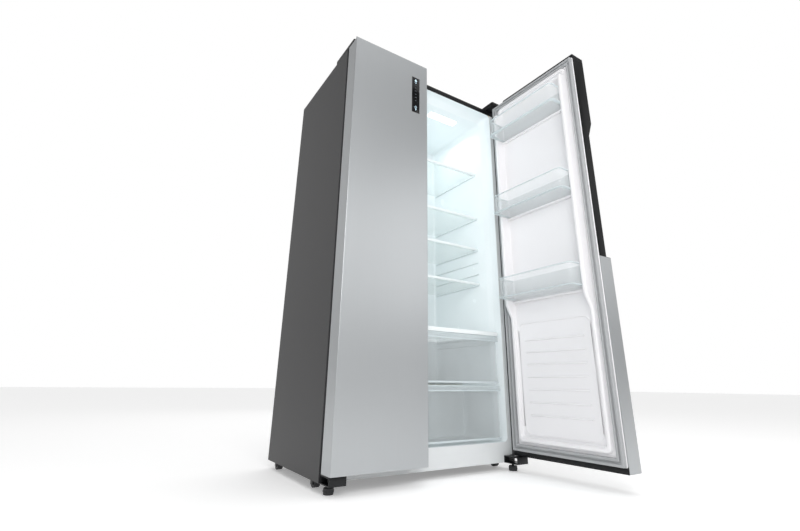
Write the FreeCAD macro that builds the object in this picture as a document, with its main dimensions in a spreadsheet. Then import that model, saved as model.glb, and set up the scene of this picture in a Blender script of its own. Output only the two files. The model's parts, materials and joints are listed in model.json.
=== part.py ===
"""Side by side refrigerator: a freezer on the left and a refrigerator on the right.

Millimetres. +X to the right as seen by a person in front of it, +Y towards the wall, +Z up.
The origin is on the floor, midway between the sides, under the front faces of the closed doors.
The freezer door is closed and the refrigerator door stands open.
"""

import FreeCAD, Part
import Sketcher
import os
import re

DOC = FreeCAD.newDocument("side_by_side_refrigerator")

# Driving dimensions: cell name, value, meaning.
SIZES = [
    # overall
    ("cabinet_width", 895, "over both side panels"),
    ("total_height", 1790, "floor to the top of the hinge covers"),
    ("cabinet_depth", 553, "steel cabinet without doors"),
    ("door_thickness", 75, "front face to the inner face of a door"),
    ("gasket_space", 14, "between a closed door and the cabinet"),
    ("hinge_cover_height", 23, "above the cabinet's top"),
    ("door_rise", 8, "doors stand this much above the cabinet's top"),
    ("leg_height", 31, "floor to the underside of the cabinet"),
    ("door_bottom", 61, "floor to the doors' lower edge"),
    ("freezer_door_width", 377, "left door"),
    ("door_gap", 9, "between the two closed doors"),
    ("fridge_door_open", 91, "degrees that the right door stands open"),
    # sheet metal and plastic walls
    ("steel", 1, "painted steel sheet"),
    ("frame_thickness", 2, "front frame round the two openings"),
    ("liner_wall", 2, "thermoformed plastic liner"),
    ("side_hem", 14, "flanges of the side panels"),
    ("top_strip", 26, "dark strip above the openings"),
    ("apron_height", 48, "front of the base below the groove line"),
    ("base_plate", 2, "floor plate of the cabinet"),
    # openings and cavities
    ("opening_margin", 35.5, "cabinet side to an opening"),
    ("mullion_width", 72, "between the two openings"),
    ("opening_radius", 20, "rounded corners of the openings"),
    ("cavity_floor", 109, "height of the inner floor"),
    ("liner_flare", 15, "each side wall narrows by this behind the opening"),
    ("ceiling_drop", 25, "the ceiling is lower than the opening"),
    ("throat_depth", 36, "straight part of the opening that takes the door's ridge"),
    ("flare_length", 35, "depth over which the liner narrows"),
    ("rear_wall", 62, "insulation behind the cavities"),
    ("machine_depth", 242, "machine compartment at the lower rear"),
    ("step_wall", 40, "insulation round the machine compartment"),
    # shelves
    ("shelf_place_1", 0.216, "share of the space between the crisper cover and the ceiling"),
    ("shelf_place_2", 0.374, "the same, second shelf"),
    ("shelf_place_3", 0.523, "the same, third shelf"),
    ("shelf_place_4", 0.746, "the same, top shelf"),
    ("spare_place_1", 0.263, "lower rail with no shelf on it"),
    ("spare_place_2", 0.316, "upper rail with no shelf on it"),
    ("shelf_setback", 116, "cabinet front to the front of a shelf"),
    ("shelf_rear_gap", 20, "behind a shelf"),
    ("shelf_glass", 4, "glass thickness"),
    ("shelf_side_gap", 1.5, "glass to the liner wall"),
    ("trim_depth", 10, "front trim of a shelf"),
    ("trim_rise", 3, "trim above the glass"),
    ("trim_drop", 3, "trim below the glass"),
    ("rail_width", 8, "ribs on the liner that carry the shelves"),
    ("rail_height", 6, "ribs on the liner that carry the shelves"),
    # crispers and freezer drawers
    ("drawer_lift", 10, "below the lower drawer"),
    ("lower_drawer_height", 216, "lower drawer"),
    ("upper_drawer_height", 204, "upper drawer"),
    ("drawer_space", 10, "between the two drawers"),
    ("drawer_side_gap", 9, "drawer to the liner wall"),
    ("drawer_wall", 2.5, "drawer walls"),
    ("drawer_front_gap", 8, "cabinet front to the drawers' handle lip"),
    ("drawer_lip_depth", 14, "handle lip in front of a drawer"),
    ("drawer_lip_height", 22, "handle lip in front of a drawer"),
    ("drawer_flange", 5, "flanges that slide on the liner's rails"),
    ("drawer_flange_drop", 20, "below the drawer's rim"),
    ("drawer_rear_gap", 12, "behind a drawer"),
    ("drawer_radius", 12, "drawer corners"),
    ("cover_gap", 3, "above the upper drawer"),
    ("cover_thickness", 18, "crisper cover frame"),
    ("cover_border", 16, "border of the cover frame round its glass"),
    ("cover_ledge", 5, "the glass rests on this much of the frame"),
    ("slide_clearance", 0.5, "between a drawer's flange and its rail"),
    # doors
    ("hinge_inset", 9, "hinge axis to the door's edge"),
    ("hinge_back", 47, "hinge axis behind the door's front face"),
    ("skin_radius", 2.5, "front edges of a door skin"),
    ("skin_hem", 10, "rear hems of a door skin"),
    ("skin_rear_gap", 3, "the skin's hems stop short of the door's inner face"),
    ("cap_height", 18, "visible end cap at the top of a door"),
    ("cap_foot", 20, "visible end cap at the foot of a door"),
    ("cap_web", 4, "end cap plate inside the skin"),
    ("cap_boss", 22, "length of the hinge boss"),
    ("notch_width", 75, "cut in the top cap that clears the hinge"),
    ("door_liner_margin", 3, "inner liner to the door's edge"),
    ("ridge_inset", 44, "door edge to the liner's ridge"),
    ("ridge_width", 20, "thickness of the ridge"),
    ("ridge_height", 47, "upper ridge that carries the baskets"),
    ("ridge_low", 15, "lower ridge beside the drawers and along the top"),
    ("ridge_drop", 40, "the upper ridge ends this far below the lower ridge's top"),
    ("ridge_end", 57, "ridge to the door's lower edge"),
    ("ridge_top_gap", 47, "ridge to the door's upper edge"),
    ("ridge_slope", 83, "length of the ramp between the two ridge heights"),
    ("gasket_inset", 6, "gasket to the door's edge"),
    ("gasket_width", 27, "gasket face"),
    ("gasket_clearance", 0.4, "closed gasket to the cabinet"),
    ("gasket_groove", 5, "groove along the gasket's face"),
    # door baskets
    ("basket_place_1", 0.371, "share of the door's height, lowest basket"),
    ("basket_place_2", 0.606, "the same, middle basket"),
    ("basket_place_3", 0.851, "the same, top basket"),
    ("basket_height", 98, "front wall of a basket"),
    ("basket_depth", 100, "from the door's inner face"),
    ("basket_wall", 2.5, "clear plastic"),
    ("basket_radius", 18, "front corners"),
    ("basket_sill", 8, "milky sill under the front wall"),
    ("freezer_basket_pitch", 246, "between the four freezer door baskets"),
    # handles and display
    ("handle_bottom", 757, "door bottom to the lower end of the finger recess"),
    ("handle_length", 542, "finger recess at full depth"),
    ("handle_ramp", 70, "the recess runs out over this height"),
    ("handle_depth", 30, "recess behind the door's front face"),
    ("handle_cut", 28, "width cut from the front of the right door"),
    ("handle_reach", 16, "undercut behind the front skin"),
    ("handle_wall", 2, "moulded recess wall"),
    ("handle_trim", 3, "thickness of the trim on the door's side"),
    ("handle_front_wall", 3, "skin to the undercut"),
    ("pocket_start", 10, "front face to the left door's side pocket"),
    ("display_width", 42, "glass panel"),
    ("display_height", 190, "glass panel"),
    ("display_thickness", 3, "glass panel"),
    ("display_inset", 43.5, "to the free edge of the left door"),
    ("display_drop", 81, "to the top of the left door"),
    # hinges
    ("pin_radius", 4.5, "hinge pins"),
    ("pin_clearance", 0.05, "round a pin or shaft in its hole"),
    ("pin_length", 22, "below or above the hinge plate"),
    ("hinge_gap", 1.5, "door's end cap to the hinge plate over it"),
    ("hinge_plate", 3, "steel hinge plates"),
    ("hinge_width", 60, "hinge plates and covers"),
    ("hinge_side_gap", 3, "hinge to the cabinet's side"),
    ("hinge_reach", 54, "top hinge in front of the cabinet"),
    ("hinge_tail", 110, "top hinge on the cabinet"),
    ("cover_tail", 133, "hinge cover on the cabinet"),
    ("cover_wall", 2, "hinge cover"),
    ("cover_corner", 8, "hinge cover corners"),
    ("lower_hinge_front", 12, "door's front face to the lower hinge"),
    ("lower_hinge_height", 27, "lower hinge bracket"),
    ("lower_hinge_gap", 3, "lower hinge to the door"),
    ("screw_head", 5.5, "head radius"),
    ("screw_head_height", 3, "head height"),
    ("screw_shank", 2.4, "shank radius"),
    ("screw_length", 9, "shank length"),
    # feet and rollers
    ("foot_inset", 30, "foot axis to the cabinet's side"),
    ("foot_place", 16, "foot axis in front of the cabinet"),
    ("foot_radius", 17, "foot disc"),
    ("foot_height", 20, "foot disc"),
    ("stud_radius", 5, "levelling stud"),
    ("stud_top_gap", 3, "stud to the bracket's top plate"),
    ("roller_radius", 20, "rear rollers"),
    ("roller_width", 22, "rollers"),
    ("front_roller_radius", 18, "front rollers"),
    ("front_roller_lift", 1.5, "front rollers hang clear of the floor"),
    ("roller_inset", 30, "middle of a roller to the cabinet's side"),
    ("rear_roller_place", 60, "rear roller axis to the cabinet's rear"),
    ("front_roller_place", 95, "front roller axis behind the cabinet's front"),
    ("axle_radius", 3, "roller axles"),
    ("ear", 3, "ears that hold the axles"),
    ("roller_side_gap", 1, "roller to an ear"),
    # machinery
    ("compressor_radius", 85, "sealed shell"),
    ("compressor_height", 180, "sealed shell"),
    ("compressor_place", 250, "to the right of the middle"),
    ("mount_height", 15, "rubber mounts under the compressor"),
    ("mount_radius", 12, "rubber mounts"),
    ("mount_spread", 80, "mounts to the compressor's axis"),
    ("foot_plate", 3, "compressor foot plate"),
    ("coil_length", 270, "condenser"),
    ("coil_depth", 150, "condenser"),
    ("coil_height", 180, "condenser"),
    ("fin", 1, "fins of both heat exchangers"),
    ("tube_radius", 4, "tubes of both heat exchangers"),
    ("fan_radius", 70, "condenser fan"),
    ("freezer_fan_radius", 48, "evaporator fan"),
    ("hub_radius", 18, "fan hubs"),
    ("hub_length", 20, "fan hubs"),
    ("shaft_radius", 4, "fan motor shafts"),
    ("blade", 2, "fan blades"),
    ("motor_radius", 26, "fan motors"),
    ("motor_length", 36, "fan motors"),
    ("tray_height", 24, "drip tray over the compressor"),
    ("tray_wall", 2, "drip tray"),
    ("machine_cover_thickness", 1.5, "rear cover"),
    ("vent_width", 60, "slots in covers"),
    ("vent_height", 5, "slots in covers"),
    ("vent_pitch", 14, "slots in covers"),
    ("duct_width", 160, "air duct on the refrigerator's rear wall"),
    ("duct_depth", 18, "air duct on the refrigerator's rear wall"),
    ("evaporator_space", 80, "behind the freezer's rear cover"),
    ("evaporator_height", 320, "evaporator"),
    ("evaporator_depth", 48, "evaporator"),
    ("lamp_width", 174, "ceiling lamps"),
    ("lamp_depth", 40, "ceiling lamps"),
    ("lamp_thickness", 6, "ceiling lamps"),
    ("control_width", 110, "control box"),
    ("control_depth", 60, "control box"),
    ("control_height", 150, "control box"),
    ("control_place", 92, "control box to the right of the middle"),
    ("gland_radius", 9, "cord gland in the machine cover"),
    ("gland_bore", 4, "radius of the gland's bore"),
]

# Places and sizes that follow from the driving dimensions.
DERIVED = {
    "half_width": "cabinet_width / 2",
    "inner_half": "half_width - steel",
    "cabinet_front": "door_thickness + gasket_space",
    "cabinet_rear": "cabinet_front + cabinet_depth",
    "cabinet_top": "total_height - hinge_cover_height",
    "door_top": "cabinet_top + door_rise",
    "fridge_door_width": "cabinet_width - freezer_door_width - door_gap",
    "frame_back": "cabinet_front + frame_thickness",
    "base_top": "leg_height + base_plate",
    "apron_top": "leg_height + apron_height",
    "opening_top": "cabinet_top - top_strip",
    "mullion_middle": "freezer_door_width + door_gap / 2 - half_width",
    "fridge_open_left": "mullion_middle + mullion_width / 2",
    "fridge_open_right": "half_width - opening_margin",
    "freezer_open_left": "opening_margin - half_width",
    "freezer_open_right": "mullion_middle - mullion_width / 2",
    "fridge_left": "fridge_open_left + liner_flare",
    "fridge_right": "fridge_open_right - liner_flare",
    "freezer_left": "freezer_open_left + liner_flare",
    "freezer_right": "freezer_open_right - liner_flare",
    "fridge_middle": "(fridge_left + fridge_right) / 2",
    "freezer_middle": "(freezer_left + freezer_right) / 2",
    "ceiling": "opening_top - ceiling_drop",
    "throat_back": "cabinet_front + throat_depth",
    "flare_back": "throat_back + flare_length",
    "cavity_back": "cabinet_rear - rear_wall",
    "machine_front": "cabinet_rear - machine_depth",
    "step_front": "machine_front - step_wall",
    "lower_drawer_bottom": "cavity_floor + drawer_lift",
    "lower_drawer_top": "lower_drawer_bottom + lower_drawer_height",
    "upper_drawer_bottom": "lower_drawer_top + drawer_space",
    "upper_drawer_top": "upper_drawer_bottom + upper_drawer_height",
    "step_top": "upper_drawer_bottom - drawer_space / 2",
    "machine_top": "step_top - step_wall",
    "cover_bottom": "upper_drawer_top + cover_gap",
    "cover_top": "cover_bottom + cover_thickness",
    "shelf_front": "cabinet_front + shelf_setback",
    "shelf_back": "cavity_back - shelf_rear_gap",
    "freezer_back": "cavity_back - evaporator_space",
    "drawer_lip_front": "cabinet_front + drawer_front_gap",
    "drawer_front": "drawer_lip_front + 2",
    "skin_back": "door_thickness - skin_rear_gap",
    "liner_back": "door_thickness - liner_wall",
    "cap_base": "door_top - steel - cap_height",
    "cap_foot_top": "door_bottom + cap_foot",
    "notch_base": "cabinet_top - hinge_gap",
    "ridge_bottom": "door_bottom + ridge_end",
    "ridge_top": "door_top - ridge_top_gap",
    "door_height": "door_top - door_bottom",
    "basket_1": "door_bottom + basket_place_1 * door_height",
    "basket_2": "door_bottom + basket_place_2 * door_height",
    "basket_3": "door_bottom + basket_place_3 * door_height",
    "slope_top": "basket_1 - 7",
    "slope_bottom": "slope_top - ridge_slope",
    "gasket_front": "door_thickness",
    "gasket_back": "cabinet_front - gasket_clearance",
    "gasket_low": "cap_foot_top",
    "gasket_high": "cap_base",
    "recess_low": "door_bottom + handle_bottom",
    "recess_high": "recess_low + handle_length",
    "recess_end": "recess_high + handle_ramp",
    "display_right": "freezer_door_width - display_inset",
    "display_left": "display_right - display_width",
    "display_top": "door_top - display_drop",
    "display_low": "display_top - display_height",
    "pin_hole": "pin_radius + pin_clearance",
    "hinge_x": "half_width - hinge_inset",
    "hinge_outer": "half_width - hinge_side_gap",
    "hinge_inner": "hinge_outer - hinge_width",
    "hinge_front": "cabinet_front - hinge_reach",
    "lower_hinge_top": "door_bottom - lower_hinge_gap",
    "lower_hinge_bottom": "lower_hinge_top - lower_hinge_height",
    "foot_x": "half_width - foot_inset",
    "foot_y": "cabinet_front - foot_place",
    "roller_x": "half_width - roller_inset",
    "rear_roller_y": "cabinet_rear - rear_roller_place",
    "front_roller_y": "cabinet_front + front_roller_place",
    "front_roller_z": "front_roller_radius + front_roller_lift",
    "machine_middle": "(machine_front + cabinet_rear) / 2",
    "compressor_bottom": "base_top + mount_height + foot_plate",
    "compressor_top": "compressor_bottom + compressor_height",
    "fan_height": "base_top + fan_radius + 40",
    "coil_bottom": "base_top + 20",
    "coil_right": "coil_left + coil_length",
    "coil_left": "70 - half_width",
    "freezer_fan_z": "step_top + 600",
    "shelf_space": "ceiling - cover_top",
    "shelf_z_1": "cover_top + shelf_place_1 * shelf_space - shelf_glass",
    "shelf_z_2": "cover_top + shelf_place_2 * shelf_space - shelf_glass",
    "shelf_z_3": "cover_top + shelf_place_3 * shelf_space - shelf_glass",
    "shelf_z_4": "cover_top + shelf_place_4 * shelf_space - shelf_glass",
    "spare_z_1": "cover_top + spare_place_1 * shelf_space",
    "spare_z_2": "cover_top + spare_place_2 * shelf_space",
}

ALIASES = {name for name, _, _ in SIZES}
WORD = re.compile(r"[a-z][a-z0-9_]*")
NODES = []

BLADE_PITCH = 28  # degrees, fan blades to the plane of their fan

FRIDGE = "fridge"
FREEZER = "freezer"
DOOR_WIDTH = {FRIDGE: "fridge_door_width", FREEZER: "freezer_door_width"}


def fill_sheet():
    """Put the driving dimensions in the sheet, with an alias for each."""
    sheet = DOC.addObject("Spreadsheet::Sheet", "Sizes")
    for row, (name, value, meaning) in enumerate(SIZES, start=1):
        sheet.set(f"A{row}", name)
        sheet.set(f"B{row}", str(value))
        sheet.set(f"C{row}", meaning)
        sheet.setAlias(f"B{row}", name)
    DOC.recompute()


def cells(text):
    """Spell out an expression with the sheet's cells in place of the size names."""

    def spell(match):
        word = match.group(0)
        if word in DERIVED:
            return "(" + cells(DERIVED[word]) + ")"
        if word in ALIASES:
            return "Sizes." + word
        return word

    return WORD.sub(spell, str(text))


def bind(thing, path, text):
    thing.setExpression(path, cells(text))


def put(thing, x, y, z):
    """Bind where a piece stands."""
    for side, place in zip("xyz", (x, y, z)):
        bind(thing, "Placement.Base." + side, place)


def node(piece, label):
    """Name a finished sub-part."""
    piece.Label = label
    NODES.append(piece)
    return piece


# ---------------------------------------------------------------- solids and booleans


def box(name, low, high):
    """A block from its lowest to its highest corner."""
    piece = DOC.addObject("Part::Box", name)
    for edge, start, end in zip(("Length", "Width", "Height"), low, high):
        bind(piece, edge, f"({end}) - ({start})")
    put(piece, *low)
    return piece


TURNS = {
    "x": FreeCAD.Rotation(FreeCAD.Vector(0, 1, 0), 90),
    "y": FreeCAD.Rotation(FreeCAD.Vector(1, 0, 0), -90),
    "z": FreeCAD.Rotation(),
}


def cylinder(name, start, radius, length, axis="z"):
    """A round bar that runs from the centre of its start face along +axis."""
    piece = DOC.addObject("Part::Cylinder", name)
    bind(piece, "Radius", radius)
    bind(piece, "Height", length)
    piece.Placement = FreeCAD.Placement(FreeCAD.Vector(), TURNS[axis])
    put(piece, *start)
    return piece


def frustum(name, near, far):
    """A block along Y whose front (x0, x1, z0, z1, y) and back differ in size."""
    piece = DOC.addObject("Part::Wedge", name)
    names = ("Xmin", "Xmax", "Zmin", "Zmax", "Ymin")
    for side, place in zip(names, near):
        bind(piece, side, place)
    names = ("X2min", "X2max", "Z2min", "Z2max", "Ymax")
    for side, place in zip(names, far):
        bind(piece, side, place)
    return piece


def ramp(name, x, low, high):
    """A prism along X: low and high are (height, front, back) of its two ends."""
    piece = DOC.addObject("Part::Wedge", name)
    for side, place in zip(("Xmin", "Xmax", "X2min", "X2max"), x + x):
        bind(piece, side, place)
    for side, place in (("Ymin", low[0]), ("Ymax", high[0])):
        bind(piece, side, place)
    # the wedge is turned about X, so that its own Z runs towards the front
    for sides, (_, front, back) in ((("Zmin", "Zmax"), low), (("Z2min", "Z2max"), high)):
        bind(piece, sides[0], f"-({back})")
        bind(piece, sides[1], f"-({front})")
    piece.Placement = FreeCAD.Placement(
        FreeCAD.Vector(), FreeCAD.Rotation(FreeCAD.Vector(1, 0, 0), 90)
    )
    return piece


def fuse(name, *pieces):
    joined = DOC.addObject("Part::MultiFuse", name)
    joined.Shapes = list(pieces)
    joined.Refine = True
    return joined


def cut(name, base, *tools):
    tool = tools[0] if len(tools) == 1 else fuse(name + "_tools", *tools)
    result = DOC.addObject("Part::Cut", name)
    result.Base = base
    result.Tool = tool
    result.Refine = True
    return result


def group(name, *pieces):
    """Separate solids that share one node."""
    members = DOC.addObject("Part::Compound", name)
    members.Links = list(pieces)
    return members


# ---------------------------------------------------------------- PartDesign bodies


def new_body(name):
    return DOC.addObject("PartDesign::Body", name)


def sketch(body, name, plane, corner):
    """A sketch on an origin plane of its own body, moved by (u, v, along the normal)."""
    drawing = body.newObject("Sketcher::SketchObject", name)
    support = next(p for p in body.Origin.OriginFeatures if p.Role == plane)
    drawing.AttachmentSupport = [(support, "")]
    drawing.MapMode = "FlatFace"
    for side, place in zip("xyz", corner):
        bind(drawing, "AttachmentOffset.Base." + side, place)
    return drawing


def line(x0, y0, x1, y1):
    return Part.LineSegment(FreeCAD.Vector(x0, y0, 0), FreeCAD.Vector(x1, y1, 0))


def rectangle(drawing, width, height):
    """A rectangle from the sketch's own origin."""
    corners = ((0, 0, 60, 0), (60, 0, 60, 40), (60, 40, 0, 40), (0, 40, 0, 0))
    for corner in corners:
        drawing.addGeometry(line(*corner), False)
    rules = [Sketcher.Constraint("Coincident", i, 2, (i + 1) % 4, 1) for i in range(4)]
    rules += [Sketcher.Constraint("Horizontal", 0), Sketcher.Constraint("Horizontal", 2)]
    rules += [Sketcher.Constraint("Vertical", 1), Sketcher.Constraint("Vertical", 3)]
    rules += [Sketcher.Constraint("Coincident", 0, 1, -1, 1)]
    drawing.addConstraint(rules)
    for kind, edge, size, name in (
        ("DistanceX", 0, width, "width"),
        ("DistanceY", 1, height, "height"),
    ):
        index = drawing.addConstraint(Sketcher.Constraint(kind, edge, 1, edge, 2, 60.0))
        drawing.renameConstraint(index, name)
        bind(drawing, "Constraints." + name, size)


def circle(drawing, radius):
    """A circle about the sketch's own origin."""
    shape = Part.Circle(FreeCAD.Vector(0, 0, 0), FreeCAD.Vector(0, 0, 1), 10)
    drawing.addGeometry(shape, False)
    drawing.addConstraint(Sketcher.Constraint("Coincident", 0, 3, -1, 1))
    index = drawing.addConstraint(Sketcher.Constraint("Radius", 0, 10.0))
    drawing.renameConstraint(index, "radius")
    bind(drawing, "Constraints.radius", radius)


def pad(body, drawing, length, name, reverse=False):
    feature = body.newObject("PartDesign::Pad", name)
    feature.Profile = drawing
    feature.Reversed = reverse
    bind(feature, "Length", length)
    drawing.Visibility = False
    return feature


def pocket(body, drawing, length, name, reverse=False):
    feature = body.newObject("PartDesign::Pocket", name)
    feature.Profile = drawing
    feature.Reversed = reverse
    bind(feature, "Length", length)
    return feature


def pad_box(body, name, low, high):
    """Pad a block from its lowest to its highest corner."""
    drawing = sketch(body, name + "_sketch", "XY_Plane", low)
    rectangle(drawing, f"({high[0]}) - ({low[0]})", f"({high[1]}) - ({low[1]})")
    return pad(body, drawing, f"({high[2]}) - ({low[2]})", name)


def pocket_box(body, name, low, high):
    """Cut a block from its highest to its lowest corner."""
    drawing = sketch(body, name + "_sketch", "XY_Plane", (low[0], low[1], high[2]))
    rectangle(drawing, f"({high[0]}) - ({low[0]})", f"({high[1]}) - ({low[1]})")
    return pocket(body, drawing, f"({high[2]}) - ({low[2]})", name)


def edges_along(feature, axis, *limits):
    """Names of the straight edges along an axis that lie on all the named sides."""
    DOC.recompute()
    shape = feature.Shape
    bounds = shape.BoundBox
    found = []
    for number, edge in enumerate(shape.Edges, start=1):
        span = edge.BoundBox
        lengths = {"x": span.XLength, "y": span.YLength, "z": span.ZLength}
        across = [lengths[side] for side in "xyz" if side != axis]
        if lengths[axis] < 1 or max(across) > 0.01:
            continue
        place = {"x": span.Center.x, "y": span.Center.y, "z": span.Center.z}
        sides = {
            "xmin": abs(place["x"] - bounds.XMin),
            "xmax": abs(place["x"] - bounds.XMax),
            "ymin": abs(place["y"] - bounds.YMin),
            "ymax": abs(place["y"] - bounds.YMax),
            "zmin": abs(place["z"] - bounds.ZMin),
            "zmax": abs(place["z"] - bounds.ZMax),
            "foot": span.ZMin - bounds.ZMin,
            "raised": 0 if span.ZMin > bounds.ZMin + 0.5 else 1,
        }
        if all(sides[limit] < 0.01 for limit in limits):
            found.append(f"Edge{number}")
    return found


def fillet(body, feature, edges, radius, name):
    rounding = body.newObject("PartDesign::Fillet", name)
    rounding.Base = (feature, edges)
    bind(rounding, "Radius", radius)
    return rounding


def rows(body, feature, count, span, name, direction="V_Axis"):
    """Repeat a feature in a straight row along an axis of its own sketch."""
    pattern = body.newObject("PartDesign::LinearPattern", name)
    pattern.Originals = [feature]
    pattern.Direction = (feature.Profile[0], [direction])
    pattern.Occurrences = count
    bind(pattern, "Length", span)
    body.Tip = pattern
    return pattern


def open_bin(name, low, high, wall, radius, *sides):
    """A box open at the top whose upright corners, on the named sides, are rounded."""
    body = new_body(name)
    pad_box(body, name + "_block", low, high)
    inner_low = [f"{place} + {wall}" for place in low]
    inner_high = [f"{place} - {wall}" for place in high[:2]] + [high[2]]
    last = pocket_box(body, name + "_hollow", inner_low, inner_high)
    outer = edges_along(last, "z", "foot", *sides)
    last = fillet(body, last, outer, radius, name + "_corners")
    inner = edges_along(last, "z", "raised")
    if sides:
        middle = last.Shape.BoundBox.Center.y
        inner = [edge for edge in inner if last.Shape.getElement(edge).BoundBox.YMin > middle]
    fillet(body, last, inner, f"{radius} - {wall}", name + "_inner_corners")
    return body


# ---------------------------------------------------------------- cabinet shell


def mirrored(side, near, far):
    """X limits of a span measured outwards from the middle, on the left (-1) or right (1)."""
    return (near, far) if side > 0 else (f"-({far})", f"-({near})")


def side_panel(side, label, screws):
    """A painted sheet with a flange at the front and at the rear."""
    parts = []
    under_roof = "cabinet_top - steel"
    for name, inner, front, back, top in (
        ("sheet", "inner_half", "cabinet_front", "cabinet_rear", "cabinet_top"),
        ("front_hem", "half_width - side_hem", "cabinet_front", "cabinet_front + steel", under_roof),
        ("rear_hem", "half_width - side_hem", "cabinet_rear - steel", "cabinet_rear", under_roof),
    ):
        left, right = mirrored(side, inner, "half_width")
        low = (left, front, "leg_height")
        parts.append(box(f"{label}_{name}", low, (right, back, top)))
    shell = fuse(label + "_shell", *parts)
    node(cut(label, shell, screws), label)


def top_panel(screws):
    roof = box(
        "roof",
        ("-inner_half", "cabinet_front", "cabinet_top - steel"),
        ("inner_half", "cabinet_rear", "cabinet_top"),
    )
    strip = box(
        "roof_strip",
        ("side_hem - half_width", "cabinet_front", "opening_top"),
        ("half_width - side_hem", "cabinet_front + steel", "cabinet_top"),
    )
    node(cut("top_panel", fuse("roof_shell", roof, strip), screws), "top_panel")


def back_panel():
    """The rear sheet above the machine compartment, with three pressed stiffening ribs."""
    body = new_body("back_panel")
    pad_box(
        body,
        "back_sheet",
        ("side_hem - half_width", "cabinet_rear - steel", "machine_top"),
        ("half_width - side_hem", "cabinet_rear", "cabinet_top - steel"),
    )
    drawing = sketch(
        body, "rib_sketch", "XZ_Plane", ("120 - half_width", "machine_top + 200", "-cabinet_rear")
    )
    rectangle(drawing, "cabinet_width - 240", "30")
    rib = pad(body, drawing, "2", "back_rib", reverse=True)
    rows(body, rib, 4, "cabinet_top - machine_top - 500", "back_ribs")
    node(body, "back_panel")


def base_frame():
    """Floor plate, front apron and the ears that carry the roller axles."""
    plate = box(
        "base_floor",
        ("-inner_half", "frame_back", "leg_height"),
        ("inner_half", "cabinet_rear - steel", "base_top"),
    )
    apron = box(
        "base_apron",
        ("side_hem - half_width", "cabinet_front", "leg_height"),
        ("half_width - side_hem", "frame_back", "apron_top"),
    )
    slots = []
    ears = []
    for side, word in ((-1, "left"), (1, "right")):
        for place, y, z, radius in (
            ("rear", "rear_roller_y", "roller_radius", "roller_radius"),
            ("front", "front_roller_y", "front_roller_z", "front_roller_radius"),
        ):
            name = f"{place}_{word}"
            reach = "roller_width / 2 + roller_side_gap"
            left, right = mirrored(side, f"roller_x - ({reach})", f"roller_x + {reach}")
            low = (left, f"{y} - {radius} - 4", "leg_height - 1")
            slots.append(box(f"slot_{name}", low, (right, f"{y} + {radius} + 4", "base_top + 1")))
            for wall, near in (("inner", f"roller_x - ({reach}) - ear"), ("outer", f"roller_x + {reach}")):
                left, right = mirrored(side, near, f"{near} + ear")
                low = (left, f"{y} - 10", f"{z} - 8")
                ears.append(box(f"ear_{wall}_{name}", low, (right, f"{y} + 10", "leg_height")))
            left, _ = mirrored(side, f"roller_x - ({reach}) - ear", f"roller_x + {reach} + ear")
            length = f"2 * ({reach} + ear)"
            ears.append(cylinder(f"axle_{name}", (left, y, z), "axle_radius", length, "x"))
    floor = cut("base_floor_cut", fuse("base_sheet", plate, apron), *slots)
    node(fuse("base_frame", floor, *ears), "base_frame")


def front_frame():
    """The light plate round both openings."""
    body = new_body("front_frame")
    drawing = sketch(body, "frame_sketch", "XZ_Plane", ("side_hem - half_width", "apron_top", "-frame_back"))
    rectangle(drawing, "cabinet_width - 2 * side_hem", "opening_top - (apron_top)")
    last = pad(body, drawing, "frame_thickness", "frame_plate")
    for name, left, right in (
        ("fridge", "fridge_open_left", "fridge_open_right"),
        ("freezer", "freezer_open_left", "freezer_open_right"),
    ):
        drawing = sketch(body, name + "_opening_sketch", "XZ_Plane", (left, "cavity_floor", "-cabinet_front"))
        rectangle(drawing, f"{right} - ({left})", "opening_top - cavity_floor")
        last = pocket(body, drawing, "frame_thickness", name + "_opening")
    fillet(body, last, lower_corners(last), "opening_radius", "opening_corners")
    node(body, "front_frame")


def lower_corners(feature):
    """The edges along Y inside the plate: the lower corners of the openings."""
    outer = set()
    for sides in (("xmin",), ("xmax",), ("zmin",), ("zmax",)):
        outer.update(edges_along(feature, "y", *sides))
    return [edge for edge in edges_along(feature, "y") if edge not in outer]


def cavity(name, left, right, grow):
    """The space inside a liner, or its outer shape when it grows by the wall."""
    more = f"({grow})"
    floor = f"cavity_floor - {more}"
    open_left, open_right = f"{left}_open_left - {more}", f"{right}_open_right + {more}"
    wall_left, wall_right = f"{left}_left - {more}", f"{right}_right + {more}"
    throat = box(
        name + "_throat",
        (open_left, "frame_back", floor),
        (open_right, "throat_back", f"opening_top + {more}"),
    )
    flare = frustum(
        name + "_flare",
        (open_left, open_right, floor, f"opening_top + {more}", "throat_back"),
        (wall_left, wall_right, floor, f"ceiling + {more}", "flare_back"),
    )
    low = box(
        name + "_low",
        (wall_left, "flare_back", floor),
        (wall_right, f"step_front + {more}", f"ceiling + {more}"),
    )
    high = box(
        name + "_high",
        (wall_left, "flare_back", f"step_top - {more}"),
        (wall_right, f"cavity_back + {more}", f"ceiling + {more}"),
    )
    return fuse(name, throat, flare, low, high)


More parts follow.
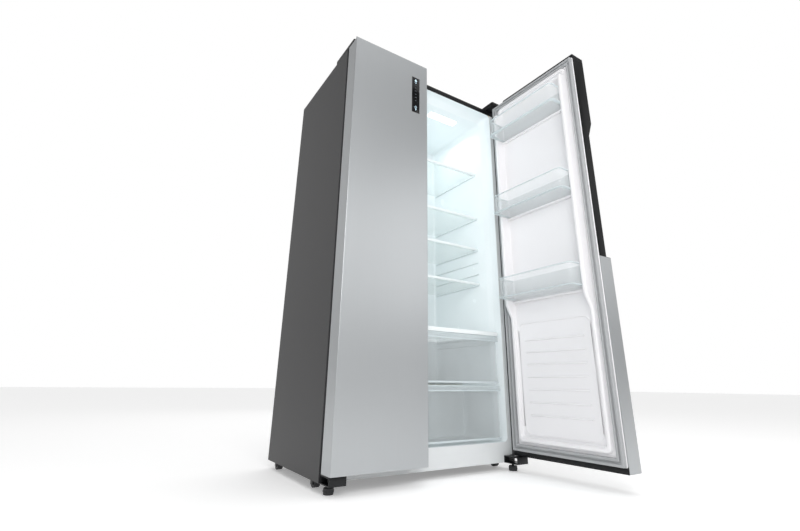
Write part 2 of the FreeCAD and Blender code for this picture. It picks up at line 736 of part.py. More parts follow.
def rails(side):
    """The ribs on both walls of a cavity that carry its shelves, its cover and its drawers."""
    left, right = f"{side}_left", f"{side}_right"
    back = "shelf_back" if side == FRIDGE else "freezer_back - 20"
    levels = [(f"shelf_{i}", f"shelf_z_{i}", "shelf_front", back) for i in range(1, 5)]
    if side == FRIDGE:
        levels += [(f"spare_{i}", f"spare_z_{i}", "shelf_front", back) for i in (1, 2)]
        levels.append(("cover", "cover_bottom", "flare_back", back))
    drop = "drawer_flange_drop + drawer_flange + slide_clearance"
    levels.append(("upper_drawer", f"upper_drawer_top - ({drop})", "flare_back", back))
    levels.append(("lower_drawer", f"lower_drawer_top - ({drop})", "flare_back", "step_front - 10"))
    ribs = []
    for name, top, front, rear in levels:
        for wall, low_x, high_x in (
            ("left", left, f"{left} + rail_width"),
            ("right", f"{right} - rail_width", right),
        ):
            low = (low_x, front, f"{top} - rail_height")
            ribs.append(box(f"{side}_{name}_rail_{wall}", low, (high_x, rear, top)))
    return ribs


def liners():
    """Both liners, and the outer shapes that the foam leaves free."""
    outers = []
    for side in (FRIDGE, FREEZER):
        outer = cavity(side + "_liner_outer", side, side, "liner_wall")
        inner = cavity(side + "_liner_inner", side, side, "0")
        shell = cut(side + "_liner_shell", outer, inner)
        node(fuse(side + "_liner", shell, *rails(side)), side + "_liner")
        outers.append(outer)
    return outers


def insulation(outers, screws):
    block = box(
        "foam_block",
        ("-inner_half", "frame_back", "base_top"),
        ("inner_half", "cabinet_rear - steel", "cabinet_top - steel"),
    )
    space = box(
        "machine_space",
        ("-inner_half", "machine_front", "base_top"),
        ("inner_half", "cabinet_rear", "machine_top"),
    )
    slots = []
    for word, side in (("left", -1), ("right", 1)):
        left, right = mirrored(side, "roller_x - 20", "inner_half")
        low = (left, "front_roller_y - front_roller_radius - 6", "base_top")
        high = (right, "front_roller_y + front_roller_radius + 6", "front_roller_z + front_roller_radius + 6")
        slots.append(box("roller_well_" + word, low, high))
    node(cut("insulation_foam", block, space, screws, *outers, *slots), "insulation_foam")


# ---------------------------------------------------------------- shelves, covers and lamps


def shelves(side, back):
    """Glass shelves with a trim clipped over the front edge."""
    left = f"{side}_left + shelf_side_gap"
    right = f"{side}_right - shelf_side_gap"
    glass = []
    trims = []
    for i in range(1, 5):
        level = f"shelf_z_{i} + shelf_glass"
        body = new_body(f"{side}_shelf_{i}")
        low = (left, "shelf_front + 2", f"shelf_z_{i}")
        plate = pad_box(body, f"{side}_pane_{i}", low, (right, back, level))
        fillet(body, plate, edges_along(plate, "z"), "3", f"{side}_pane_corners_{i}")
        glass.append(body)
        low = (left, "shelf_front", f"shelf_z_{i} - trim_drop")
        high = (right, "shelf_front + trim_depth", f"{level} + trim_rise")
        bar = box(f"{side}_trim_bar_{i}", low, high)
        notch_left = box(
            f"{side}_trim_notch_left_{i}",
            (left, "shelf_front - 1", f"shelf_z_{i} - trim_drop - 1"),
            (f"{side}_left + rail_width + 0.5", "shelf_front + trim_depth + 1", f"shelf_z_{i}"),
        )
        notch_right = box(
            f"{side}_trim_notch_right_{i}",
            (f"{side}_right - rail_width - 0.5", "shelf_front - 1", f"shelf_z_{i} - trim_drop - 1"),
            (right, "shelf_front + trim_depth + 1", f"shelf_z_{i}"),
        )
        trims.append(cut(f"{side}_trim_{i}", bar, body, notch_left, notch_right))
    return glass, trims


def crisper_cover():
    """A framed glass pane that closes the upper crisper and serves as the lowest shelf."""
    left, right = "fridge_left + 2", "fridge_right - 2"
    frame = box(
        "cover_block", (left, "drawer_lip_front", "cover_bottom"), (right, "shelf_back", "cover_top")
    )
    inner = "cover_border + cover_ledge"
    window = box(
        "cover_window",
        (f"{left} + {inner}", f"drawer_lip_front + {inner}", "cover_bottom - 1"),
        (f"{right} - ({inner})", f"shelf_back - ({inner})", "cover_top + 1"),
    )
    pane = box(
        "crisper_cover_glass",
        (f"{left} + cover_border", "drawer_lip_front + cover_border", "cover_top - shelf_glass"),
        (f"{right} - cover_border", "shelf_back - cover_border", "cover_top"),
    )
    node(pane, "crisper_cover_glass")
    node(cut("crisper_cover_frame", frame, window, pane), "crisper_cover_frame")


def lamps():
    """A flat lamp under each ceiling, behind the shelf fronts."""
    panels = []
    for side in (FRIDGE, FREEZER):
        body = new_body(side + "_lamp")
        low = (f"{side}_middle - lamp_width / 2", "shelf_front", "ceiling - lamp_thickness")
        high = (f"{side}_middle + lamp_width / 2", "shelf_front + lamp_depth", "ceiling")
        plate = pad_box(body, side + "_lamp_plate", low, high)
        fillet(body, plate, edges_along(plate, "z"), "5", side + "_lamp_corners")
        panels.append(body)
    node(group("cabinet_lamps", *panels), "cabinet_lamps")


def vents(body, name, place, count):
    """A column of air slots through a plate that faces the front."""
    x, y, z = place
    drawing = sketch(body, name + "_sketch", "XZ_Plane", (f"{x} - vent_width / 2", z, f"-({y})"))
    rectangle(drawing, "vent_width", "vent_height")
    slot = pocket(body, drawing, "duct_depth + 4", name + "_slot")
    rows(body, slot, count, f"{count - 1} * vent_pitch", name + "_slots")


def fridge_duct():
    """The moulded air duct on the refrigerator's rear wall."""
    body = new_body("fridge_duct_panel")
    low = ("fridge_middle - duct_width / 2", "cavity_back - duct_depth", "cover_top + 30")
    high = ("fridge_middle + duct_width / 2", "cavity_back", "ceiling - 20")
    plate = pad_box(body, "duct_plate", low, high)
    fillet(body, plate, edges_along(plate, "z", "ymin"), "8", "duct_edges")
    place = ("fridge_middle", "cavity_back - duct_depth", "ceiling - 140")
    vents(body, "duct", place, 5)
    node(body, "fridge_duct_panel")


def evaporator_cover():
    """The freezer's rear wall, in front of the evaporator and its fan."""
    body = new_body("evaporator_cover")
    low = ("freezer_left", "freezer_back", "step_top")
    high = ("freezer_right", "freezer_back + 3", "ceiling")
    pad_box(body, "evaporator_cover_plate", low, high)
    drawing = sketch(
        body, "fan_opening_sketch", "XZ_Plane", ("freezer_middle", "freezer_fan_z", "-freezer_back")
    )
    circle(drawing, "freezer_fan_radius + 4")
    pocket(body, drawing, "4", "fan_opening")
    vents(body, "return", ("freezer_middle", "freezer_back", "step_top + 60"), 5)
    node(body, "evaporator_cover")


# ---------------------------------------------------------------- machinery


def heat_exchanger(label, low, high, count):
    """Upright fins across straight tubes."""
    body = new_body(label + "_fin_stack")
    fin_low = (f"{low[0]} + 10", low[1], low[2])
    fin_high = (f"{low[0]} + 10 + fin", high[1], high[2])
    first = pad_box(body, label + "_fin", fin_low, fin_high)
    rows(body, first, count, f"({high[0]}) - ({low[0]}) - 20 - fin", label + "_fins", "H_Axis")
    tubes = []
    for level in (1, 3, 5):
        for row in (1, 3):
            y = f"{low[1]} + (({high[1]}) - ({low[1]})) * {row} / 4"
            z = f"{low[2]} + (({high[2]}) - ({low[2]})) * {level} / 6"
            name = f"{label}_tube_{level}_{row}"
            length = f"({high[0]}) - ({low[0]})"
            tubes.append(cylinder(name, (low[0], y, z), "tube_radius", length, "x"))
    headers = []
    for end, x in (("start", low[0]), ("finish", f"{high[0]} - fin")):
        start = (x, f"{low[1]} + 2", f"{low[2]} + 2")
        finish = (f"{x} + fin", f"{high[1]} - 2", f"{high[2]} - 2")
        headers.append(box(f"{label}_{end}_plate", start, finish))
    return fuse(label + "_block", body, *tubes, *headers)


def compressor(mounts):
    """A sealed steel shell on a foot plate, with two pipe stubs."""
    body = new_body("compressor_shell")
    centre = ("compressor_place", "machine_middle")
    drawing = sketch(body, "shell_sketch", "XY_Plane", (*centre, "compressor_bottom"))
    circle(drawing, "compressor_radius")
    shell = pad(body, drawing, "compressor_height", "shell_pad")
    DOC.recompute()
    rims = [
        f"Edge{number}"
        for number, edge in enumerate(shell.Shape.Edges, start=1)
        if edge.Closed and edge.BoundBox.ZLength < 0.01
    ]
    fillet(body, shell, rims, "35", "shell_rims")
    reach = "mount_spread + mount_radius"
    plate = box(
        "compressor_plate",
        (f"compressor_place - ({reach})", f"machine_middle - ({reach})", "compressor_bottom - foot_plate"),
        (f"compressor_place + {reach}", f"machine_middle + {reach}", "compressor_bottom"),
    )
    pipes = []
    for name, dx in (("suction", -30), ("discharge", 35)):
        start = (f"compressor_place + {dx}", "machine_middle - 40", "compressor_top - 20")
        pipes.append(cylinder(name + "_stub", start, "tube_radius", "40"))
    node(fuse("compressor", body, plate, *pipes), "compressor")
    rubber = []
    for dx in (-1, 1):
        for dy in (-1, 1):
            start = (
                f"compressor_place + {dx} * mount_spread",
                f"machine_middle + {dy} * mount_spread",
                "base_top",
            )
            rubber.append(cylinder(f"mount_{dx + 1}_{dy + 1}", start, "mount_radius", mounts))
    node(group("compressor_mounts", *rubber), "compressor_mounts")


def fan(label, centre, axis, radius, blades=5):
    """Pitched blades on a hub with a bore for the motor's shaft; centre is its middle."""
    half = "hub_length / 2"
    start = list(centre)
    index = "xyz".index(axis)
    start[index] = f"{centre[index]} - {half}"
    hub = cylinder(label + "_hub", start, "hub_radius", "hub_length", axis)
    bore = cylinder(label + "_bore", start, "shaft_radius + pin_clearance", "hub_length", axis)
    vanes = []
    aim = FreeCAD.Vector(*[1.0 if side == axis else 0.0 for side in "xyz"])
    for i in range(blades):
        vane = DOC.addObject("Part::Box", f"{label}_blade_{i + 1}")
        bind(vane, "Length", f"{radius} - hub_radius + 3")
        bind(vane, "Width", f"{radius} * 0.55")
        bind(vane, "Height", "blade")
        # the blade lies along its own X, is pitched about it, and is then turned about the axis
        stand = TURNS[axis] if axis != "z" else FreeCAD.Rotation()
        turn = FreeCAD.Rotation(aim, 360 * i / blades)
        pitch = FreeCAD.Rotation(FreeCAD.Vector(1, 0, 0), BLADE_PITCH)
        rotation = turn.multiply(stand).multiply(pitch)
        out = rotation.multVec(FreeCAD.Vector(1, 0, 0))
        across = rotation.multVec(FreeCAD.Vector(0, 1, 0))
        vane.Placement = FreeCAD.Placement(FreeCAD.Vector(), rotation)
        for side, place in zip("xyz", centre):
            push = getattr(out, side)
            slide = getattr(across, side)
            text = f"{place} + {push:.6f} * (hub_radius - 3) - ({slide:.6f}) * {radius} * 0.275"
            bind(vane, "Placement.Base." + side, text)
        vanes.append(vane)
    wheel = fuse(label + "_wheel", hub, *vanes)
    node(cut(label, wheel, bore), label)


def fan_motor(label, centre, axis, reach, foot):
    """A small motor behind a fan, with its shaft in the hub's bore and an arm to the structure."""
    index = "xyz".index(axis)
    body_start = list(centre)
    body_start[index] = f"{centre[index]} + hub_length / 2 + 3"
    shaft_start = list(centre)
    shaft_start[index] = f"{centre[index]} - hub_length / 2"
    can = cylinder(label + "_can", body_start, "motor_radius", reach, axis)
    shaft = cylinder(label + "_shaft", shaft_start, "shaft_radius", "hub_length + 10", axis)
    return fuse(label, can, shaft, foot)


def machinery(screws):
    mount = "mount_height"
    compressor(mount)
    low = ("coil_left", "machine_middle - coil_depth / 2", "coil_bottom")
    high = ("coil_right", "machine_middle + coil_depth / 2", "coil_bottom + coil_height")
    legs = []
    for name, x in (("left", "coil_left"), ("right", "coil_right - 20")):
        start = (x, "machine_middle - 15", "base_top")
        legs.append(box("coil_leg_" + name, start, (f"{x} + 20", "machine_middle + 15", "coil_bottom + 4")))
    block = heat_exchanger("condenser", low, high, 20)
    node(fuse("condenser_unit", block, *legs), "condenser")

    centre = ("0", "machine_middle", "fan_height")
    fan("condenser_fan", centre, "x", "fan_radius")
    post = box(
        "fan_post",
        ("hub_length / 2 + 12", "machine_middle - 12", "base_top"),
        ("hub_length / 2 + 26", "machine_middle + 12", "fan_height"),
    )
    outer = fan_motor("condenser_motor", centre, "x", "motor_length", post)

    centre = ("freezer_middle", "freezer_back + 24", "freezer_fan_z")
    fan("evaporator_fan", centre, "y", "freezer_fan_radius")
    arm = box(
        "fan_arm",
        ("freezer_left", "cavity_back - 12", "freezer_fan_z - 10"),
        ("freezer_right", "cavity_back", "freezer_fan_z + 10"),
    )
    reach = "cavity_back - freezer_back - 24 - hub_length / 2 - 3"
    inner = fan_motor("evaporator_motor", centre, "y", reach, arm)
    node(group("fan_motors", outer, inner), "fan_motors")

    low = ("freezer_left + 6", "cavity_back - 8 - evaporator_depth", "step_top + 130")
    high = ("freezer_right - 6", "cavity_back - 8", "step_top + 130 + evaporator_height")
    block = heat_exchanger("evaporator", low, high, 24)
    hooks = []
    for name, x in (("left", "freezer_left"), ("right", "freezer_right - 7")):
        start = (x, "cavity_back - 20", "step_top + 120 + evaporator_height / 2")
        hooks.append(box("evaporator_hook_" + name, start, (f"{x} + 7", "cavity_back", f"{start[2]} + 16")))
    node(fuse("evaporator_unit", block, *hooks), "evaporator")

    reach = "compressor_radius + 15"
    low = (f"compressor_place - ({reach})", f"machine_middle - ({reach})", "compressor_top")
    high = (f"compressor_place + {reach}", f"machine_middle + {reach}", "compressor_top + tray_height")
    body = open_bin("tray", low, high, "tray_wall", "14")
    pipes = []
    for name, dx in (("suction", -30), ("discharge", 35)):
        start = (f"compressor_place + {dx}", "machine_middle - 40", "compressor_top - 1")
        pipes.append(cylinder(name + "_way", start, "tube_radius + 2", "tray_height + 2"))
    node(cut("drip_tray_cut", body, *pipes), "drip_tray")

    low = ("control_place - control_width / 2", "cabinet_rear - steel - control_depth", "base_top")
    high = ("control_place + control_width / 2", "cabinet_rear - steel", "base_top + control_height")
    body = new_body("control_box")
    plate = pad_box(body, "control_block", low, high)
    fillet(body, plate, edges_along(plate, "z"), "4", "control_corners")
    node(body, "control_box")

    machine_cover(screws)


def machine_cover(screws):
    """The slotted plate over the machine compartment."""
    body = new_body("machine_cover_plate")
    low = ("5 - half_width", "cabinet_rear", "leg_height + 10")
    high = ("half_width - 5", "cabinet_rear + machine_cover_thickness", "machine_top + 8")
    pad_box(body, "machine_cover_sheet", low, high)
    for name, x in (("left", "-cabinet_width / 4"), ("right", "cabinet_width / 4")):
        place = (x, "cabinet_rear", "leg_height + 50")
        vents(body, "machine_cover_" + name, place, 14)
    y = "cabinet_rear + machine_cover_thickness"
    z = "leg_height + 45"
    flange = cylinder("gland_flange", ("0", y, z), "gland_radius", "4", "y")
    neck = cylinder("gland_neck", ("0", "cabinet_rear - 4", z), "gland_radius - 3", "8", "y")
    bore = cylinder("gland_bore_way", ("0", "cabinet_rear - 5", z), "gland_bore", "14", "y")
    gland = cut("cord_gland", fuse("gland_blank", flange, neck), bore)
    node(gland, "cord_gland")
    node(cut("machine_cover", body, screws, neck), "machine_cover")


def cabinet_screws():
    """Screws through the top hinges and round the machine cover."""
    screws = []
    for side, word in ((-1, "left"), (1, "right")):
        for number, back in ((1, "25"), (2, "60"), (3, "95")):
            x = f"{side} * (hinge_outer - hinge_width / 2)"
            y = f"cabinet_front + {back}"
            top = "cabinet_top + hinge_plate"
            name = f"hinge_screw_{word}_{number}"
            head = cylinder(name + "_head", (x, y, top), "screw_head", "screw_head_height")
            start = (x, y, f"{top} - screw_length")
            shank = cylinder(name + "_shank", start, "screw_shank", "screw_length")
            screws.append(fuse(name, head, shank))
        for number, z in ((1, "leg_height + 35"), (2, "machine_top - 20")):
            x = f"{side} * (half_width - side_hem + 4)"
            top = "cabinet_rear + machine_cover_thickness"
            name = f"cover_screw_{word}_{number}"
            head = cylinder(name + "_head", (x, top, z), "screw_head", "screw_head_height", "y")
            start = (x, f"{top} - screw_length", z)
            shank = cylinder(name + "_shank", start, "screw_shank", "screw_length", "y")
            screws.append(fuse(name, head, shank))
    return node(group("cabinet_screws", *screws), "cabinet_screws")


# ---------------------------------------------------------------- hinges, feet and rollers


def top_hinges(screws):
    """Steel plates screwed to the cabinet's top, each with a pin down into a door."""
    plates = []
    covers = []
    for side, word in ((-1, "left"), (1, "right")):
        left, right = mirrored(side, "hinge_inner", "hinge_outer")
        body = new_body("top_hinge_" + word)
        low = (left, "hinge_front", "cabinet_top")
        high = (right, "cabinet_front + hinge_tail", "cabinet_top + hinge_plate")
        plate = pad_box(body, "hinge_plate_" + word, low, high)
        corners = edges_along(plate, "z", "ymin") + edges_along(plate, "z", "ymax")
        fillet(body, plate, corners, "6", "hinge_corners_" + word)
        pin_low = "cabinet_top - pin_length"
        place = (f"{side} * hinge_x", "hinge_back", pin_low)
        pin = cylinder("top_pin_" + word, place, "pin_radius", "pin_length + hinge_plate")
        plates.append(cut("top_hinge_drilled_" + word, fuse("top_hinge_pinned_" + word, body, pin), screws))

        body = new_body("hinge_cover_" + word)
        low = [left, "hinge_front - 3", "cabinet_top"]
        high = [right, "cabinet_front + cover_tail", "total_height"]
        block = pad_box(body, "hinge_cover_block_" + word, low, high)
        edges = edges_along(block, "z", "ymin") + edges_along(block, "z", "ymax")
        block = fillet(body, block, edges, "cover_corner", "hinge_cover_corners_" + word)
        drawing = sketch(
            body,
            "hinge_cover_hollow_" + word,
            "XY_Plane",
            (f"{left} + cover_wall", "hinge_front - 3 + cover_wall", "cabinet_top"),
        )
        rectangle(drawing, "hinge_width - 2 * cover_wall", "hinge_reach + cover_tail + 3 - 2 * cover_wall")
        # the plate's own edges lie outside the hollow, so the cover sits over a cleared slab
        pocket(body, drawing, "hinge_cover_height - cover_wall", "hinge_cover_inside_" + word, reverse=True)
        clear = box(
            "hinge_cover_foot_" + word,
            (f"{left} - 1", "hinge_front - 4", "cabinet_top - 1"),
            (f"{right} + 1", "cabinet_front + cover_tail + 1", "cabinet_top + hinge_plate"),
        )
        covers.append(cut("hinge_cover_cut_" + word, body, clear))
    node(group("top_hinges", *plates), "top_hinges")
    node(group("hinge_covers", *covers), "hinge_covers")


def lower_hinges():
    """Folded steel brackets with a pin up into a door and a threaded foot seat."""
    brackets = []
    for side, word in ((-1, "left"), (1, "right")):
        left, right = mirrored(side, "hinge_inner", "hinge_outer")
        outer = box(
            "bracket_block_" + word,
            (left, "lower_hinge_front", "lower_hinge_bottom"),
            (right, "cabinet_front", "lower_hinge_top"),
        )
        inner = box(
            "bracket_hollow_" + word,
            (f"{left} - 1", "lower_hinge_front + hinge_plate", "lower_hinge_bottom + hinge_plate"),
            (f"{right} + 1", "cabinet_front - hinge_plate", "lower_hinge_top - hinge_plate"),
        )
        place = (f"{side} * foot_x", "foot_y", "lower_hinge_bottom - 1")
        seat = cylinder("stud_hole_" + word, place, "stud_radius + pin_clearance", "hinge_plate + 2")
        place = (f"{side} * hinge_x", "hinge_back", "lower_hinge_top - hinge_plate")
        pin = cylinder("lower_pin_" + word, place, "pin_radius", "pin_length")
        folded = cut("bracket_folded_" + word, outer, inner, seat)
        brackets.append(fuse("lower_hinge_" + word, folded, pin))
    node(group("lower_hinges", *brackets), "lower_hinges")


def feet():
    """Turned levelling feet: a wide disc below a threaded stud."""
    for side, word in ((-1, "left"), (1, "right")):
        body = new_body("front_foot_" + word)
        drawing = sketch(body, "foot_disc_" + word, "XY_Plane", ("0", "0", "0"))
        circle(drawing, "foot_radius")
        disc = pad(body, drawing, "foot_height", "foot_pad_" + word)
        DOC.recompute()
        rims = [
            f"Edge{number}"
            for number, edge in enumerate(disc.Shape.Edges, start=1)
            if edge.Closed and edge.BoundBox.ZLength < 0.01
        ]
        fillet(body, disc, rims, "1.5", "foot_rims_" + word)
        drawing = sketch(body, "stud_circle_" + word, "XY_Plane", ("0", "0", "foot_height"))
        circle(drawing, "stud_radius")
        length = "lower_hinge_top - hinge_plate - stud_top_gap - foot_height"
        pad(body, drawing, length, "stud_" + word)
        put(body, f"{side} * foot_x", "foot_y", "0")
        node(body, "front_foot_" + word)


def rollers(place, y, z, radius):
    """A pair of grooved rollers on one axis line."""
    wheels = []
    for side, word in ((-1, "left"), (1, "right")):
        left, _ = mirrored(side, "roller_x - roller_width / 2", "roller_x + roller_width / 2")
        name = f"{place}_roller_{word}"
        tyre = cylinder(name + "_tyre", (left, y, z), radius, "roller_width", "x")
        bore = cylinder(name + "_bore", (left, y, z), "axle_radius + pin_clearance", "roller_width", "x")
        waist = cylinder(name + "_waist", (f"{left} + 9", y, z), f"{radius} + 1", "4", "x")
        core = cylinder(name + "_core", (f"{left} + 9", y, z), f"{radius} - 2", "4", "x")
        groove = cut(name + "_groove", waist, core)
        wheels.append(cut(name, tyre, bore, groove))
    node(group(place + "_rollers", *wheels), place + "_rollers")


# ---------------------------------------------------------------- drawers


def drawer(label, side, bottom, top, back):
    """An open box with a handle lip in front and a flange on each side."""
    left = f"{side}_left + drawer_side_gap"
    right = f"{side}_right - drawer_side_gap"
    low = (left, "drawer_front", bottom)
    body = open_bin(label + "_box", low, (right, back, top), "drawer_wall", "drawer_radius")
    lip = box(
        label + "_lip",
        (f"{left} - 4", "drawer_lip_front", f"{top} - drawer_lip_height"),
        (f"{right} + 4", "drawer_lip_front + drawer_lip_depth", top),
    )
    mouth = box(
        label + "_mouth",
        (f"{left} + drawer_wall", "drawer_front + drawer_wall", f"{top} - drawer_lip_height - 1"),
        (f"{right} - drawer_wall", "drawer_lip_front + drawer_lip_depth + 1", f"{top} + 1"),
    )
    flanges = []
    drop = f"{top} - drawer_flange_drop"
    for wall, near, far in (
        ("left", f"{left} - drawer_flange", f"{left} + drawer_wall / 2"),
        ("right", f"{right} - drawer_wall / 2", f"{right} + drawer_flange"),
    ):
        start = (near, "flare_back", f"{drop} - drawer_flange")
        flanges.append(box(f"{label}_flange_{wall}", start, (far, f"{back} - 20", drop)))
    lipped = cut(label + "_lipped", fuse(label + "_solid", body, lip), mouth)
    node(fuse(label, lipped, *flanges), label)


# ---------------------------------------------------------------- doors


def door_span(side, near, far):
    """X limits, about the hinge axis, of a span measured from the door's hinge edge."""
    if side == FRIDGE:
        return f"hinge_inset - ({far})", f"hinge_inset - ({near})"
    return f"({near}) - hinge_inset", f"({far}) - hinge_inset"


def door_corners(side, across, deep, high):
    """Corners of a block in a door: from its hinge edge, its front face and the floor."""
    left, right = door_span(side, *across)
    low = (left, f"({deep[0]}) - hinge_back", high[0])
    return low, (right, f"({deep[1]}) - hinge_back", high[1])


def door_box(side, name, across, deep, high):
    return box(f"{side}_door_{name}", *door_corners(side, across, deep, high))


def hang(piece, side):
    """Put a door's piece on its hinge axis, at the door's angle."""
    sign = "" if side == FRIDGE else "-"
    put(piece, f"{sign}hinge_x", "hinge_back", "0")
    if side == FRIDGE:
        bind(piece, "Placement.Rotation.Angle", "fridge_door_open * 1deg")
    return piece


def door_pin_holes(side):
    """The bores of both end caps."""
    holes = []
    for name, start in (("top", "cabinet_top - pin_length - 1"), ("low", "door_bottom - 1")):
        place = ("0", "0", start)
        holes.append(cylinder(f"{side}_{name}_pin_hole", place, "pin_hole", "pin_length + 2"))
    return holes


def door_ridge(side, name, wall, start):
    """The ridge round the inner panel: low all round, and tall beside the baskets."""
    width = DOOR_WIDTH[side]
    near, far = f"ridge_inset + {wall}", f"{width} - ridge_inset - {wall}"
    high = f"door_thickness + ridge_height - {wall}"
    low = f"door_thickness + ridge_low - {wall}"
    bottom, top = f"ridge_bottom + {wall}", f"ridge_top - {wall}"
    tall_top = f"ridge_top - ridge_drop - {wall}"
    lower = door_box(side, name + "_lower", (near, far), (start, low), (bottom, top))
    upper = door_box(side, name + "_upper", (near, far), (start, high), ("slope_top", tall_top))
    x = door_span(side, near, far)
    slope = ramp(
        f"{side}_door_{name}_slope",
        x,
        ("slope_bottom", f"{start} - hinge_back", f"{low} - hinge_back"),
        ("slope_top", f"{start} - hinge_back", f"{high} - hinge_back"),
    )
    solid = fuse(f"{side}_door_{name}_solid", lower, upper, slope)
    inner = f"ridge_width - {wall}"
    hollow = door_box(
        side,
        name + "_hollow",
        (f"ridge_inset + {inner}", f"{width} - ridge_inset - ({inner})"),
        (f"{start} - 1", "door_thickness + ridge_height + 1"),
        (f"ridge_bottom + {inner}", f"ridge_top - ({inner})"),
    )
    return cut(f"{side}_door_{name}", solid, hollow)


def skin_blank(side):
    """The folded sheet before its cutouts: a slab with rounded front edges, opened from behind."""
    width = DOOR_WIDTH[side]
    name = side + "_door_skin"
    body = new_body(name + "_blank")
    low, high = door_corners(side, ("0", width), ("0", "skin_back"), ("door_bottom", "door_top"))
    slab = pad_box(body, name + "_slab", low, high)
    fillet(body, slab, edges_along(slab, "z", "ymin"), "skin_radius", name + "_edges")
    hollow_deep = ("steel", "skin_back + 1")
    hollow_high = ("door_bottom - 1", "door_top + 1")
    hollow = door_box(side, "skin_hollow", ("steel", f"{width} - steel"), hollow_deep, hollow_high)
    hems = []
    for word, near, far in (
        ("hinge", "steel", "skin_hem"),
        ("free", f"{width} - skin_hem", f"{width} - steel"),
    ):
        deep = ("skin_back - steel", "skin_back")
        high = ("cap_foot_top + cap_web", "cap_base - cap_web")
        hems.append(door_box(side, f"skin_hem_{word}", (near, far), deep, high))
    return fuse(name + "_folded", cut(name + "_open", body, hollow), *hems)


def top_notch(side):
    """The space round the hinge that the door's top leaves free."""
    return door_box(
        side, "top_notch", ("-1", "notch_width"), ("skin_radius + 1", "door_thickness + 1"), ("notch_base", "door_top + 1")
    )


def end_caps(side):
    """Plastic caps that close the skin at both ends and carry the hinge bores."""
    width = DOOR_WIDTH[side]
    inside = ("steel", f"{width} - steel")
    flush = ("steel", "door_thickness")
    within = ("steel", "liner_back")
    top = fuse(
        side + "_top_cap_blank",
        door_box(side, "top_cap_block", ("notch_width", f"{width} - steel"), flush, ("cap_base", "door_top - steel")),
        door_box(side, "top_cap_seat", ("steel", "notch_width + 1"), flush, ("cap_base", "notch_base")),
        door_box(side, "top_cap_web", inside, within, ("cap_base - cap_web", "cap_base")),
        door_box(
            side,
            "top_cap_boss",
            ("steel", "2 * hinge_inset + 5"),
            ("hinge_back - 12", "hinge_back + 12"),
            ("cap_base - cap_boss", "cap_base"),
        ),
    )
    low = fuse(
        side + "_low_cap_blank",
        door_box(side, "low_cap_block", inside, flush, ("door_bottom", "cap_foot_top")),
        door_box(side, "low_cap_web", inside, within, ("cap_foot_top", "cap_foot_top + cap_web")),
        door_box(
            side,
            "low_cap_boss",
            ("steel", "2 * hinge_inset + 5"),
            ("hinge_back - 12", "hinge_back + 12"),
            ("door_bottom", "door_bottom + cap_boss"),
        ),
    )
    return top, low


def door_handle(side):
    """The moulded finger recess, with the space that it leaves in the skin and in the foam."""
    width = DOOR_WIDTH[side]
    wall = "handle_wall"
    if side == FRIDGE:
        inner = f"{width} - handle_cut - handle_reach"
        hull = [
            door_box(
                side,
                "handle_shell",
                (f"{inner} - {wall}", f"{width} - handle_trim"),
                ("steel", f"handle_depth + {wall}"),
                (f"recess_low - {wall}", f"recess_end + {wall}"),
            ),
            door_box(
                side,
                "handle_trim",
                (f"{width} - handle_trim", width),
                ("steel", "skin_back"),
                (f"recess_low - {wall}", "cap_base"),
            ),
        ]
        space = [
            door_box(
                side,
                "recess_front",
                (f"{width} - handle_cut", f"{width} + 1"),
                ("-1", "handle_depth"),
                ("recess_low", "recess_high"),
            ),
            door_box(
                side,
                "recess_undercut",
                (inner, f"{width} - handle_cut"),
                ("handle_front_wall", "handle_depth"),
                ("recess_low", "recess_high"),
            ),
            ramp(
                "fridge_door_recess_ramp",
                door_span(side, f"{width} - handle_cut", f"{width} + 1"),
                ("recess_high", "-1 - hinge_back", "handle_depth - hinge_back"),
                ("recess_end", "-1 - hinge_back", "steel - hinge_back"),
            ),
        ]
    else:
        hull = [
            door_box(
                side,
                "handle_shell",
                (f"{width} - handle_cut - {wall}", width),
                (f"pocket_start - {wall}", f"pocket_start + handle_depth + {wall}"),
                (f"recess_low - {wall}", f"recess_high + {wall}"),
            )
        ]
        space = [
            door_box(
                side,
                "recess",
                (f"{width} - handle_cut", f"{width} + 1"),
                ("pocket_start", "pocket_start + handle_depth"),
                ("recess_low", "recess_high"),
            )
        ]
    blank = fuse(side + "_door_handle_hull", *hull) if len(hull) > 1 else hull[0]
    node(hang(cut(side + "_door_handle", blank, *space), side), side + "_door_handle")
    return blank, space


def door_gasket(side):
    """The magnetic seal: a frame with a groove along its face."""
    width = DOOR_WIDTH[side]

    def ring(name, start, end, deep):
        """A rectangular frame between two distances from the gasket's outer edge."""
        shapes = []
        for word, inset in (("outer", start), ("inner", end)):
            across = (f"gasket_inset + {inset}", f"{width} - gasket_inset - ({inset})")
            high = (f"gasket_low + {inset}", f"gasket_high - ({inset})")
            reach = deep if word == "outer" else (f"{deep[0]} - 1", f"{deep[1]} + 1")
            shapes.append(door_box(side, f"gasket_{name}_{word}", across, reach, high))
        return cut(f"{side}_gasket_{name}", *shapes)

    face = ring("face", "0", "gasket_width", ("gasket_front", "gasket_back"))
    middle = "gasket_width / 2 - gasket_groove / 2"
    groove = ring("groove", middle, f"{middle} + gasket_groove", ("gasket_back - 6", "gasket_back + 1"))
    node(hang(cut(side + "_door_gasket", face, groove), side), side + "_door_gasket")


def door_basket(side, number, bottom):
    """A clear bin hung between the ridges, with a sill under its front wall."""
    width = DOOR_WIDTH[side]
    name = f"{side}_door_basket_{number}"
    near, far = "ridge_inset + ridge_width", f"{width} - ridge_inset - ridge_width"
    low, high = door_corners(
        side,
        (near, far),
        ("door_thickness", "door_thickness + basket_depth"),
        (bottom, f"{bottom} + basket_height"),
    )
    return open_bin(name, low, high, "basket_wall", "basket_radius", "ymax")


